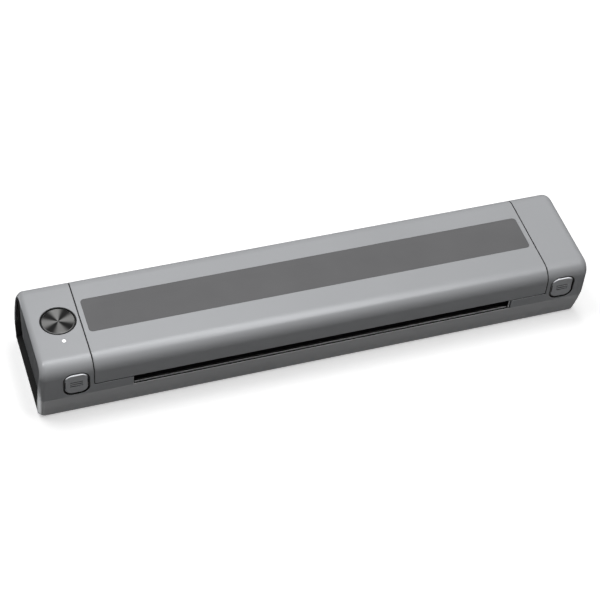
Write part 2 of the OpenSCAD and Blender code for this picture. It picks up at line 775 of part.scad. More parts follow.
module paper_deck() color(black) difference() {
    box([slot_x0 - deck_past, -half_d + deck_edge, deck_z0],
        [slot_x1 + deck_past, half_d - deck_edge, deck_z1]);
    box([head_x0 - window_past + over, window_y0, sill_z0 - over],
        [head_x1 + window_past - over, window_y1, deck_z1 + over]);
    for (p = deck_screw_places) {
        translate([p[0], p[1], deck_z0 - over]) cylinder(h = deck_t + 2 * over, r = screw_r + bore_gap);
        translate([p[0], p[1], deck_z1 - screw_head_h])
            cylinder(h = screw_head_h + over, r = screw_head_r + slide_gap);
    }
    sensor_block(bore_gap);
}
sensor_l = 6;
sensor_w = 4;
sensor_h = 1.2;
sensor_behind = 25;
sensor_y = platen_y + sensor_behind;
sensor_share = 0.22;
module sensor_block(gap) {
    x = slot_x0 + sensor_share * slot_l;
    box([x - gap, sensor_y - gap, deck_z1 - sensor_h], [x + sensor_l + gap, sensor_y + sensor_w + gap,
        deck_z1 + bore_gap + (gap > 0 ? over : 0)]);
}
module paper_sensor() color(black) sensor_block(0);

module exit_guide() color(paint)
    box([slot_x0 + guide_short, -half_d + guide_back, deck_z0 + guide_rise - guide_h + deck_t],
        [slot_x1 - guide_short, -half_d + guide_back + guide_t, crease_z + guide_rise]);

module main_board() color(green) difference() {
    box([board_x0, board_y0, board_z0], [board_x1, board_y1, board_z0 + board_t]);
    for (p = board_screw_places)
        translate([p[0], p[1], 0]) cylinder(h = body_h, r = screw_r + bore_gap);
    // Notch for the rib that holds the head's rod
    box([rib_right_x - slide_gap, rod_y - rib_w / 2 - slide_gap, 0],
        [rib_right_x + rib_t + slide_gap, rod_y + rib_w / 2 + slide_gap, body_h]);
}
// Chips and sockets on the board. Shares: place of the left front corner along and across the
// board, then length and width as shares of the board's width, and height of the tallest one's
chip_h = 3;
chip_shares = [[0.24, 0.28, 0.43, 0.43, 0.4], [0.49, 0.05, 0.28, 0.28, 0.46], [0.66, 0.56, 0.24, 0.24, 0.8],
    [0.65, 0.12, 0.33, 0.14, 0.6], [0.109, 0.57, 0.24, 0.29, 1], [0.87, 0.12, 0.24, 0.19, 0.53]];
module board_chips() color(black)
    for (c = chip_shares)
        translate([board_x0 + c[0] * board_l, board_y0 + c[1] * board_w, board_z0 + board_t])
            cube([c[2] * board_w, c[3] * board_w, c[4] * chip_h]);

module usb_socket() color(steel) {
    z0 = board_z0 + board_t;
    mid = z0 + usb_h / 2;
    difference() {
        along_x(usb_x0, usb_x1)
            translate([usb_y, mid]) polygon(rounded_pts(usb_w, usb_h, usb_corner));
        along_x(usb_x0 + usb_tongue, usb_x1 + over)
            translate([usb_y, mid])
                polygon(rounded_pts(usb_w - 2 * usb_wall, usb_h - 2 * usb_wall, usb_corner - usb_wall));
    }
    box([usb_x0, usb_y - usb_tongue_w / 2, mid - usb_tongue / 2],
        [usb_x1 - usb_tongue, usb_y + usb_tongue_w / 2, mid + usb_tongue / 2]);
}

module battery_pack() color([0.20, 0.33, 0.52]) {
    translate([0, 0, floor_z]) along_z(0, battery_h)
        translate([battery_x0 + battery_l / 2, battery_y1 - battery_w / 2])
            polygon(rounded_pts(battery_l, battery_w, battery_corner));
}

module motor() color(steel) difference() {
    union() {
        bar(motor_plate_x - motor_l, motor_plate_x, motor_y, motor_z, motor_d / 2);
        bar(motor_plate_x - over, motor_plate_x + motor_boss_l, motor_y, motor_z, motor_boss_r);
        bar(motor_plate_x - motor_l - motor_cap_l, motor_plate_x, motor_y, motor_z, motor_cap_r);
    }
    bar(motor_plate_x - motor_shaft_in - over, motor_plate_x + motor_l, motor_y, motor_z, axle_r + bore_gap);
    for (s = [-1, 1])
        bar(motor_plate_x - short_screw_l / 2, motor_plate_x + over,
            motor_y + s * motor_screw_out, motor_z, screw_r);
}

module gear_frame() color(steel) difference() {
    front_y = idler_y - mesh_b;
    back_y = motor_y + motor_d / 2;
    strip_w = 2.6;
    union() {
        box([gear_plate_x, front_y, floor_z], [gear_plate_x + gear_plate_t, motor_y, gear_plate_top]);
        along_x(motor_plate_x, motor_plate_x + gear_plate_t)
            polygon([[front_y, floor_z], [back_y, floor_z], [back_y, motor_z + motor_d / 2],
                [motor_y - motor_d / 2, motor_z + motor_d / 2], [front_y, idler_z]]);
        box([motor_plate_x, front_y, floor_z],
            [gear_plate_x + gear_plate_t, front_y + strip_w, floor_z + gear_plate_t]);
        box([motor_plate_x, motor_y - strip_w / 2, floor_z],
            [gear_plate_x + gear_plate_t, motor_y + strip_w / 2, floor_z + gear_plate_t]);
    }
    bar(gear_plate_x - over, gear_plate_x + 2 * over, idler_y, idler_z, axle_r);
    bar(gear_plate_x - over, gear_plate_x + 2 * over, drive_y, drive_z, axle_r);
    bar(motor_plate_x - over, motor_plate_x + 2 * over, motor_y, motor_z, motor_boss_r + bore_gap);
    for (s = [-1, 1])
        bar(motor_plate_x - over, motor_plate_x + 2 * over,
            motor_y + s * motor_screw_out, motor_z, screw_r + bore_gap);
}

// An axle in the gear plate, with a head that keeps its gear on
module axle(x0, y, z) color(steel) {
    bar(x0, gear_plate_x + gear_plate_t, y, z, axle_r);
    bar(x0 - axle_head, x0, y, z, axle_head_r);
}
module idler_axle() axle(gears_x0 - slide_gap, idler_y, idler_z);
module drive_axle() axle(big_gear_x0 - slide_gap, drive_y, drive_z);

// A spur gear with a bore along the body's length
module gear(n, x0, x1, y, z, phase, bore) {
    difference() {
        translate([0, y, z]) along_x(x0, x1) rotate(phase) polygon(gear_pts(n));
        bar(x0 - over, x1 + over, y, z, bore);
    }
}
module hub(x0, x1, y, z, bore) {
    difference() {
        bar(x0, x1, y, z, hub_r);
        bar(x0 - over, x1 + over, y, z, bore);
    }
}
module platen_gear() color([0.85, 0.85, 0.82])
    gear(platen_teeth, gears_x0, gears_x1, platen_y, platen_z, platen_phase, shaft_r);
module idler_gear() color([0.85, 0.85, 0.82]) {
    gear(idler_teeth, gears_x0, gears_x1, idler_y, idler_z, idler_phase, axle_r + bore_gap);
    hub(gears_x1 - over, gear_plate_x - slide_gap, idler_y, idler_z, axle_r + bore_gap);
}
module drive_gear() color([0.85, 0.85, 0.82]) {
    gear(drive_teeth, big_gear_x0, big_gear_x1, drive_y, drive_z, drive_phase, axle_r + bore_gap);
    gear(pinion_teeth, big_gear_x1 - bore_gap, gears_x1, drive_y, drive_z, drive_phase, axle_r + bore_gap);
    hub(gears_x1 - over, gear_plate_x - slide_gap, drive_y, drive_z, axle_r + bore_gap);
}
module motor_shaft() color(steel)
    bar(motor_plate_x - motor_shaft_in, big_gear_x1 + slide_gap, motor_y, motor_z, axle_r);
module motor_pinion() color([0.78, 0.63, 0.32])
    gear(pinion_teeth, big_gear_x0 - slide_gap, big_gear_x1 + slide_gap,
        motor_y, motor_z, pinion_phase, axle_r);

module power_board() color(green) difference() {
    box([power_board_x0, power_board_y0, power_board_z],
        [power_board_x1, power_board_y1, power_board_z + board_t]);
    for (p = power_post_places)
        translate([p[0], p[1], 0]) cylinder(h = body_h, r = screw_r + bore_gap);
}
switch_z1 = power_board_z + board_t + switch_h;
nub_z0 = switch_z1 - nub_sunk;
plunger_z1 = body_h - cap_down - cap_t;
module power_switch() color(black) difference() {
    translate([power_x - switch_w / 2, power_y - switch_w / 2, power_board_z + board_t])
        cube([switch_w, switch_w, switch_h]);
    translate([power_x, power_y, nub_z0 - power_travel - pass_gap])
        cylinder(h = switch_h, r = nub_r + bore_gap);
}
module switch_nub() color([0.75, 0.75, 0.72])
    translate([power_x, power_y, nub_z0]) cylinder(h = nub_h, r = nub_r);
module power_plunger() color(black) {
    translate([power_x, power_y, nub_z0 + nub_h]) cylinder(h = plunger_z1 - nub_z0 - nub_h, r = plunger_r);
    translate([power_x, power_y, plunger_z1 - plunger_flange_t])
        cylinder(h = plunger_flange_t, r = cap_r - cap_bevel);
}
module power_cap() color([0.2, 0.2, 0.2])
    translate([power_x, power_y, plunger_z1])
        rotate_extrude()
            polygon([[0, 0], [cap_r, 0], [cap_r, cap_t - cap_bevel], [cap_r - cap_bevel, cap_t], [0, cap_t]]);
// Ring round the power button, with a flange under the roof that ends flat at the block's side wall
module power_bezel() color(black) {
    z0 = roof_z - ring_flange_t - bore_gap;
    side_x = cover_x0 - seam_gap / 2 - wall - slide_gap;
    difference() {
        union() {
            translate([power_x, power_y, z0 + ring_flange_t / 2])
                cylinder(h = body_h - ring_down - z0 - ring_flange_t / 2, r = power_r - bore_gap);
            difference() {
                translate([power_x, power_y, z0]) cylinder(h = ring_flange_t, r = power_r + ring_flange);
                box([side_x, -body_d, 0], [cover_x1, body_d, body_h]);
            }
        }
        translate([power_x, power_y, 0]) cylinder(h = body_h + over, r = cap_r + power_gap);
    }
}
module status_led() color([1, 1, 0.95])
    box([power_x - led_w / 2, light_y - led_w / 4, power_board_z + board_t],
        [power_x + led_w / 2, light_y + led_w / 4, power_board_z + board_t + led_h]);
module light_pipe() color([0.95, 0.95, 0.97]) {
    z0 = power_board_z + board_t + led_h + bore_gap;
    translate([power_x, light_y, z0]) cylinder(h = body_h - bore_gap - z0, r = light_r);
    translate([power_x, light_y, roof_z - ring_flange_t])
        cylinder(h = ring_flange_t - bore_gap, r = light_r + led_h);
}

module head_pivot_rod() color(steel)
    bar(head_x0 - rod_past, head_x1 + rod_past, rod_y, rod_z, rod_r);
module hinge_pin_left() color(steel)
    bar(cover_x0 - hinge_pin_l / 2, cover_x0 + hinge_pin_l / 2, hinge_y, hinge_z, hinge_pin_r);
module hinge_pin_right() color(steel)
    bar(cover_x1 - hinge_pin_l / 2, cover_x1 + hinge_pin_l / 2, hinge_y, hinge_z, hinge_pin_r);

// Ribbon between the head and the main board, and its connector
flex_x_share = 0.85;
flex_w = 16;
flex_t = 0.4;
flex_ahead = 5.5;
flex_y = rod_y - flex_ahead;
module head_flex() color([0.55, 0.42, 0.2]) {
    x = head_x0 + flex_x_share * (head_x1 - head_x0);
    box([x, flex_y, board_z0 + board_t], [x + flex_w, flex_y + flex_t, sink_z0 - bore_gap]);
    box([x, flex_y - over, board_z0 + board_t], [x + flex_w, flex_y + over, board_z0 + board_t + over]);
}

module base_screws() color(steel)
    for (p = column_places)
        translate([p[0], p[1], foot_gap + screw_sink]) mirror([0, 0, 1])
            translate([0, 0, -base_screw_l + bore_gap]) screw(base_screw_l - bore_gap);
module deck_screws() color(steel)
    for (p = deck_screw_places)
        translate([p[0], p[1], deck_z1 - screw_head_h - short_screw_l + slide_gap])
            screw(short_screw_l - slide_gap);
module board_screws() color(steel) {
    for (p = board_screw_places)
        translate([p[0], p[1], floor_z + slide_gap]) screw(board_z0 + board_t - floor_z - slide_gap);
    for (p = power_post_places)
        translate([p[0], p[1], power_board_z + short_screw_l]) mirror([0, 0, 1]) screw(short_screw_l);
}
module motor_screws() color(steel)
    for (s = [-1, 1])
        translate([motor_plate_x + gear_plate_t, motor_y + s * motor_screw_out, motor_z]) rotate([0, 90, 0])
            translate([0, 0, -gear_plate_t - short_screw_l / 2 + slide_gap])
                screw(gear_plate_t + short_screw_l / 2 - slide_gap);

module head_springs() color(steel)
    for (s = head_spring_shares)
        translate([head_x0 + s * (head_x1 - head_x0), head_spring_y, floor_z + spring_seat_h + bore_gap])
            spring(head_spring_r, head_spring_wire, head_spring_turns,
                sink_z0 - floor_z - spring_seat_h - 2 * bore_gap);
module latch_spring(x) color(steel)
    translate([x, -slider_back + bore_gap, (slider_z0 + slider_z1) / 2]) rotate([-90, 0, 0])
        spring(latch_spring_r, latch_spring_wire, latch_spring_turns,
            slider_back - spring_wall_y - 2 * bore_gap);
module latch_spring_left() latch_spring(push_left_x);
module latch_spring_right() latch_spring(push_right_x);

module cover_shell() color(paint) {
    x0 = cover_x0 + seam_gap / 2;
    x1 = cover_x1 - seam_gap / 2;
    difference() {
        union() {
            difference() {
                along_x(x0, x1) polygon(casing_pts(0));
                along_x(x0 + cover_end_wall, x1 - cover_end_wall) polygon(casing_pts(wall));
                box([x0 - over, -body_d, 0], [x1 + over, hinge_y, cover_edge_z]);
                box([x0 - over, hinge_y - barrel_r, 0], [x1 + over, body_d, hinge_z]);
            }
            bar(x0, x1, hinge_y, hinge_z, barrel_r);
        }
        bar(x0 - over, x0 + hinge_pin_l / 2 + over / 2, hinge_y, hinge_z, hinge_pin_r + bore_gap);
        bar(x1 - hinge_pin_l / 2 - over / 2, x1 + over, hinge_y, hinge_z, hinge_pin_r + bore_gap);
        inlay_block(bore_gap);
        for (p = cover_screw_places)
            translate([p[0], p[1], roof_z - over]) cylinder(h = over + wall / 2, r = screw_r);
    }
}
module inlay_block(gap) {
    l = cover_x1 - cover_x0 - 2 * inlay_margin;
    along_z(body_h - inlay_t, body_h + (gap > 0 ? over : 0))
        translate([cover_mid, inlay_y])
            polygon(rounded_pts(l + 2 * gap, inlay_w + 2 * gap, inlay_r + gap));
}
module cover_inlay() color(dark_print) inlay_block(0);

// The catch that hangs from the frame behind the front strip, with its barb to the back
module catch_lug(x) {
    box([x, -lug_front, lug_z0], [x + nose_w, -lug_front + lug_t, cover_edge_z + top_r]);
    box([x, -lug_front, lug_z0], [x + nose_w, -lug_front + lug_t + barb, lug_z0 + barb_h]);
}
lug_left_x = cover_x0 + lug_off;
lug_right_x = cover_x1 - lug_off - nose_w;
// A cheek of the frame: a plate that carries the roller's bush
module cheek(x) {
    along_x(x, x + cheek_t) difference() {
        union() {
            translate([platen_y - cheek_r, platen_z])
                square([2 * cheek_r, roof_z - frame_gap - frame_wall / 2 - platen_z]);
            translate([platen_y, platen_z]) circle(r = cheek_r);
        }
        translate([platen_y, platen_z]) circle(r = bush_r);
    }
}
module cover_inner_frame() color(black) {
    x0 = lug_left_x;
    x1 = lug_right_x + nose_w;
    inset = wall + frame_gap;
    difference() {
        union() {
            intersection() {
                difference() {
                    along_x(x0, x1) polygon(casing_pts(inset));
                    along_x(x0 - over, x1 + over) polygon(casing_pts(inset + frame_wall));
                }
                union() {
                    box([x0, -body_d, cover_edge_z + frame_wall / 2], [x1, 0, body_h]);
                    box([x0, 0, hinge_z + barrel_r + frame_wall / 2], [x1, body_d, body_h]);
                }
            }
            for (y = [front_rib_y, back_rib_y])
                box([slot_x0, y, y < 0 ? cover_edge_z + frame_wall : rib_down],
                    [slot_x1, y + frame_wall, roof_z - frame_gap - frame_wall / 2]);
            catch_lug(lug_left_x);
            catch_lug(lug_right_x);
        }
        // Well for the roller's gear
        box([x0 - over, platen_y - mesh_a, hinge_z], [cheek_left_x - pass_gap, platen_y + mesh_a, body_h]);
        for (p = cover_screw_places)
            translate([p[0], p[1], 0]) cylinder(h = body_h, r = screw_r + bore_gap);
    }
    cheek(cheek_left_x);
    cheek(cheek_right_x);
}
module cover_screws() color(steel)
    for (p = cover_screw_places)
        translate([p[0], p[1], roof_z + wall / 2 - bore_gap]) mirror([0, 0, 1])
            screw(frame_gap + frame_wall + wall / 2 - bore_gap);

module platen_bush(x) color([0.9, 0.88, 0.8]) difference() {
    bar(x, x + cheek_t, platen_y, platen_z, bush_r);
    bar(x - over, x + cheek_t + over, platen_y, platen_z, shaft_r + bore_gap);
}
module platen_bush_left() platen_bush(cheek_left_x);
module platen_bush_right() platen_bush(cheek_right_x);
module platen_shaft() color(steel)
    bar(gears_x0 - slide_gap, cheek_right_x + cheek_t + over, platen_y, platen_z, shaft_r);
module platen_rubber() color(black) difference() {
    bar(rubber_x0, rubber_x1, platen_y, platen_z, platen_r);
    bar(rubber_x0 - over, rubber_x1 + over, platen_y, platen_z, shaft_r);
}

module heat_sink() color([0.75, 0.76, 0.78]) difference() {
    union() {
        box([head_x0, sink_y0, sink_z0], [head_x1, sink_y0 + sink_w, ceramic_z0]);
        for (x = [head_x0 + lug_in, head_x1 - lug_in - lug_w])
            along_x(x, x + lug_w) {
                translate([rod_y, rod_z]) circle(r = lug_r);
                polygon([[rod_y - lug_r, rod_z], [rod_y, rod_z - lug_r / 2],
                    [sink_y0 + sink_w, sink_z0 + over], [sink_y0 + sink_w - lug_foot, sink_z0 + over]]);
            }
    }
    bar(head_x0 - over, head_x1 + over, rod_y, rod_z, rod_r + bore_gap);
}
module head_ceramic() color([0.88, 0.85, 0.78])
    box([head_x0, platen_y - ceramic_w / 2, ceramic_z0], [head_x1, platen_y + ceramic_w / 2, head_z1]);
driver_w = 5.8;
driver_h = 1.5;
driver_bevel = 0.8;
module head_driver_cover() color(black)
    along_x(head_x0 + window_past, head_x1 - window_past)
        translate([platen_y + ceramic_w / 2 + slide_gap, ceramic_z0])
            polygon([[0, 0], [driver_w, 0], [driver_w, driver_h - driver_bevel],
                [driver_w - driver_bevel, driver_h], [driver_bevel, driver_h], [0, driver_h - driver_bevel]]);

// A release button's cap, cut from the casing's own outline, with grip bars sunk in its face
grip_w = 7;
grip_h = 0.6;
grip_pitch = 1.5;
grip_depth = 0.25;
module push_cap(x) color(paint) difference() {
    intersection() {
        difference() {
            along_x(x - push_w, x + push_w) polygon(casing_pts(cap_back));
            along_x(x - push_w - over, x + push_w + over) polygon(casing_pts(cap_back + push_t));
        }
        along_y(-half_d - over, -half_d + 2 * push_t)
            translate([x, push_z])
                polygon(rounded_pts(push_w - 2 * push_gap, push_h - 2 * push_gap, push_r - push_gap));
    }
    for (i = [-1, 0, 1])
        box([x - grip_w / 2, -half_d - over, push_z + i * grip_pitch - grip_h / 2],
            [x + grip_w / 2, -half_d + cap_back + grip_depth, push_z + i * grip_pitch + grip_h / 2]);
}
module push_button_left() push_cap(push_left_x);
module push_button_right() push_cap(push_right_x);

// The slider behind a cap; its arm runs towards the cover and ends in the nose
module latch_slider(x, nose_x0) color(black) {
    front = half_d - cap_back - push_t;
    box([x - slider_w / 2, -front, slider_z0], [x + slider_w / 2, -slider_back, slider_z1]);
    arm_x0 = min(x, nose_x0);
    arm_x1 = max(x, nose_x0 + nose_w);
    z1 = latch_arm_z0 + latch_arm_h;
    along_x(arm_x0, arm_x1)
        polygon([[-latch_arm_front, latch_arm_z0], [-latch_arm_front + latch_arm_w, latch_arm_z0],
            [-latch_arm_front + latch_arm_w, z1], [-latch_arm_front + nose_bevel, z1],
            [-latch_arm_front, z1 - nose_bevel]]);
}
module latch_slider_left() latch_slider(push_left_x, lug_left_x);
module latch_slider_right() latch_slider(push_right_x, lug_right_x);

module motor_lead() color([0.5, 0.08, 0.06]) lead(motor_lead_route, motor_lead_r);
module battery_lead() color([0.1, 0.1, 0.1]) lead(battery_lead_route, battery_lead_r);

bottom_shell();
upper_housing();
end_trim_left();
end_trim_right();
end_plate_left();
end_plate_right();
rubber_feet();
paper_deck();
exit_guide();
main_board();
board_chips();
usb_socket();
battery_pack();
motor();
gear_frame();
idler_axle();
drive_axle();
power_board();
power_switch();
status_led();
light_pipe();
power_bezel();
head_pivot_rod();
hinge_pin_left();
hinge_pin_right();
paper_sensor();
head_flex();
base_screws();
deck_screws();
board_screws();
motor_screws();
latch_spring_left();
latch_spring_right();
head_springs();
cover_shell();
cover_inlay();
cover_inner_frame();
platen_bush_left();
platen_bush_right();
cover_screws();
platen_shaft();
platen_rubber();
platen_gear();
idler_gear();
drive_gear();
motor_shaft();
motor_pinion();
heat_sink();
head_ceramic();
head_driver_cover();
push_button_left();
push_button_right();
latch_slider_left();
latch_slider_right();
power_cap();
power_plunger();
switch_nub();
motor_lead();
battery_lead();
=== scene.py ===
"""Looks of the stencil printer: painted shells, buttons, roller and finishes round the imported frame."""

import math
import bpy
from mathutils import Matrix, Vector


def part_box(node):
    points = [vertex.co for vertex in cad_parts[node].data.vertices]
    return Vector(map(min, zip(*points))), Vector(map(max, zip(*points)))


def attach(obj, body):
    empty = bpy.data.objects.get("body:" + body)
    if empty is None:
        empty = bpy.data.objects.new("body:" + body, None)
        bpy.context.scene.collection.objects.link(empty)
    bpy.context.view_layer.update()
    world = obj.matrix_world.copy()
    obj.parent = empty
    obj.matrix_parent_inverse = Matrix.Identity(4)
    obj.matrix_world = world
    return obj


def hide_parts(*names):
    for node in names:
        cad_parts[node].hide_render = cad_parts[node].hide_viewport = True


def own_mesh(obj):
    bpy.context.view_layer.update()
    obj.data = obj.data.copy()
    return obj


bl_info = {
    "name": "Stencil printer",
    "version": (1, 0, 0),
    "blender": (4, 5, 0),
    "location": "3D View > Sidebar > Stencil Printer",
    "description": "Models and finishes a slim stencil printer with a hinged cover around its packed frame",
    "category": "Object",
}

import bpy
import numpy as np
from mathutils import Matrix, Vector, geometry

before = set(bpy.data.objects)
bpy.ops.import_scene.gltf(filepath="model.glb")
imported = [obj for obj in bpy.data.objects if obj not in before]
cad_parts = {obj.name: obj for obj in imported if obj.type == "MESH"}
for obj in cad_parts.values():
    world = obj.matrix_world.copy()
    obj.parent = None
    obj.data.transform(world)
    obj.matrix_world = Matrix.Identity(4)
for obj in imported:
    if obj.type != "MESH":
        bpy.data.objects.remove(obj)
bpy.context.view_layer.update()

# Lengths inside this script are millimetres; the mesh is made in metres
MM = 0.001


def box_mm(node):
    """Lowest and highest corner of a CAD node in millimetres."""
    low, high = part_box(node)
    return np.array(low) / MM, np.array(high) / MM


# Boxes of the frame's parts that the pieces are built on
COVER_LOW, COVER_HIGH = box_mm("cover_shell")
BAND_LOW, BAND_HIGH = box_mm("bottom_shell")
HOUSING_LOW, HOUSING_HIGH = box_mm("upper_housing")
INLAY_LOW, INLAY_HIGH = box_mm("cover_inlay")
GUIDE_LOW, GUIDE_HIGH = box_mm("exit_guide")
PLATE_LOW, PLATE_HIGH = box_mm("end_plate_left")
CAP_LOW, CAP_HIGH = box_mm("power_cap")
RING_LOW, RING_HIGH = box_mm("power_bezel")
PIPE_LOW, PIPE_HIGH = box_mm("light_pipe")
RUBBER_LOW, RUBBER_HIGH = box_mm("platen_rubber")
SHAFT_LOW, SHAFT_HIGH = box_mm("platen_shaft")
FOOT_LOW, FOOT_HIGH = box_mm("rubber_feet")

# Middles and sizes that several pieces use
CAP_MIDDLE = (CAP_LOW + CAP_HIGH) / 2
CAP_R = (CAP_HIGH[0] - CAP_LOW[0]) / 2
PIPE_MIDDLE = (PIPE_LOW + PIPE_HIGH) / 2
INLAY_MIDDLE = (INLAY_LOW + INLAY_HIGH) / 2
INLAY_SIZE = INLAY_HIGH - INLAY_LOW

# The casing: half its depth, its top, the crease between the two greys, and the bottom of the lower shell
HALF_D = HOUSING_HIGH[1]
TOP_Z = HOUSING_HIGH[2]
TOP_R = 8.0
CREASE_Z = BAND_HIGH[2]
BAND_Z = BAND_LOW[2]
RIM_X = BAND_HIGH[0] - 0.05

# Ends of the cover, the gaps beside it, and the ends of the paper slot
SEAM_GAP = 0.58
COVER_X0 = COVER_LOW[0] + 0.11
COVER_X1 = COVER_HIGH[0] - 0.11
CUT_X0 = COVER_X0 - SEAM_GAP
CUT_X1 = COVER_X1 + SEAM_GAP
SLOT_X0 = GUIDE_LOW[0] - 1.0
SLOT_X1 = GUIDE_HIGH[0] + 1.6

# Where the end recesses stop and their plates' outer faces lie
RECESS_X = -PLATE_HIGH[0]
PLATE_OUT = -PLATE_LOW[0]

# The hinge line, the cover's front edge, and the strips of the housing below the cover
HINGE_Z = 24.0
BARREL_R = HINGE_Z - COVER_LOW[2]
HINGE_Y = HALF_D - BARREL_R
COVER_EDGE_Z = 22.5
FRONT_STRIP_Z = COVER_EDGE_Z - 0.6
BACK_STRIP_Z = COVER_LOW[2] - 0.3


class PrinterCasing(bpy.types.PropertyGroup):
    """Sizes of the painted shells."""

    wall: bpy.props.FloatProperty(
        name="Wall", description="Thickness of the shells", default=1.8 * MM, unit="LENGTH")
    top_radius: bpy.props.FloatProperty(
        name="Top radius", description="Radius of the two long top edges", default=TOP_R * MM, unit="LENGTH")
    end_radius: bpy.props.FloatProperty(
        name="End radius", description="Radius of the fillet round each end", default=4.9 * MM, unit="LENGTH")
    end_inset: bpy.props.FloatProperty(
        name="End inset", description="How far the end fillet draws in", default=2.5 * MM, unit="LENGTH")
    end_wall: bpy.props.FloatProperty(
        name="End wall", description="Thickness of the shells at the open ends",
        default=3.3 * MM, unit="LENGTH")
    edge_radius: bpy.props.FloatProperty(
        name="Edge radius", description="Radius of the moulded edges", default=0.25 * MM, unit="LENGTH")
    band_lean: bpy.props.FloatProperty(
        name="Band lean", description="How far the lower band leans in", default=2.25 * MM, unit="LENGTH")
    foot_radius: bpy.props.FloatProperty(
        name="Bottom radius", description="Radius of the bottom edge", default=1.5 * MM, unit="LENGTH")


class PrinterColours(bpy.types.PropertyGroup):
    """Colours of the finishes."""

    paint: bpy.props.FloatVectorProperty(
        name="Paint", description="Satin grey paint of the upper shells", subtype="COLOR",
        default=(0.40, 0.407, 0.42), min=0, max=1)
    band: bpy.props.FloatVectorProperty(
        name="Band", description="Darker grey of the lower shell", subtype="COLOR",
        default=(0.415, 0.418, 0.425), min=0, max=1)
    inlay: bpy.props.FloatVectorProperty(
        name="Inlay", description="Dark grey of the inlay", subtype="COLOR",
        default=(0.122, 0.122, 0.125), min=0, max=1)
    metal: bpy.props.FloatVectorProperty(
        name="Button metal", description="Spun metal of the power button", subtype="COLOR",
        default=(0.11, 0.11, 0.108), min=0, max=1)


def unit(v):
    """Rows of v scaled to length one."""
    return v / np.maximum(np.linalg.norm(v, axis=-1, keepdims=True), 1e-12)


def rounded_path(corners, radii, step=0.7, closed=True, turn_step=6.0):
    """Points and left-hand normals along a polygon whose corners are arcs. An arc of radius r starts and ends
    r * tan(turn / 2) from its corner and turns about its centre; straight legs are cut into even steps."""
    c = np.asarray(corners, float)
    r = np.broadcast_to(np.asarray(radii, float), len(c)).copy()
    into, out = unit(c - np.roll(c, 1, 0)), unit(np.roll(c, -1, 0) - c)
    turn = np.arctan2(into[:, 0] * out[:, 1] - into[:, 1] * out[:, 0], (into * out).sum(1))
    if not closed:
        r[[0, -1]] = 0
        turn[[0, -1]] = 0
        out[-1], into[0] = into[-1], out[0]
        turn[0] = turn[-1] = 0
    cut = r * np.tan(np.abs(turn) / 2)
    start, end = c - into * cut[:, None], c + out * cut[:, None]
    left = np.stack([-into[:, 1], into[:, 0]], 1)
    centre = start + left * (r * np.sign(turn))[:, None]
    points, normals = [], []
    for i in range(len(c)):
        n = max(1, math.ceil(abs(math.degrees(turn[i])) / turn_step)) if cut[i] > 0 else 0
        a = np.linspace(0, turn[i], n + 1)
        cos, sin = np.cos(a), np.sin(a)
        (arm_x, arm_y), (left_x, left_y) = start[i] - centre[i], left[i]
        points.append(centre[i] + np.stack([cos * arm_x - sin * arm_y, sin * arm_x + cos * arm_y], 1))
        normals.append(np.stack([cos * left_x - sin * left_y, sin * left_x + cos * left_y], 1))
        if i + 1 < len(c) or closed:
            a, b = end[i], start[(i + 1) % len(c)]
            n = max(1, math.ceil(np.linalg.norm(b - a) / step))
            t = np.arange(1, n)[:, None] / n
            points.append(a + (b - a) * t)
            normals.append(np.repeat([[-out[i, 1], out[i, 0]]], n - 1, 0))
    return np.concatenate(points), np.concatenate(normals)


class Outline:
    """A line in the y-z plane that distance along it evaluates: place and outward normal."""

    def __init__(self, corners, radii):
        self.p, self.n = rounded_path(corners, radii, step=0.5, closed=False, turn_step=1.5)
        legs = np.linalg.norm(np.diff(self.p, axis=0), axis=1)
        self.s = np.concatenate([[0], np.cumsum(legs)])
        self.length = self.s[-1]

    def at(self, s):
        """Points and normals at distances along the line."""
        p = np.stack([np.interp(s, self.s, self.p[:, k]) for k in (0, 1)], -1)
        n = np.stack([np.interp(s, self.s, self.n[:, k]) for k in (0, 1)], -1)
        return p, unit(n)

    def near(self, y=None, z=None, back=False):
        """Distance along the line where it passes y on top, or the height z in front or at the back."""
        if y is not None:
            top = self.p[:, 1] > TOP_Z - 0.01
            return float(np.interp(y, self.p[top, 0], self.s[top]))
        part = self.p[:, 0] > 0 if back else self.p[:, 0] < 0
        order = np.argsort(self.p[part, 1])
        return float(np.interp(z, self.p[part, 1][order], self.s[part][order]))


def bow(z, side):
    """How far an open end stands back at a height: on the left it grows with the square of the height above
    12 mm, on the right with the square of the depth below 20 mm."""
    left = 2.2 * (np.clip(z - 12, 0, None) / 26) ** 2
    right = 2.0 * (np.clip(20 - z, 0, None) / 18.5) ** 2
    return np.where(np.asarray(side) < 0, left, right)


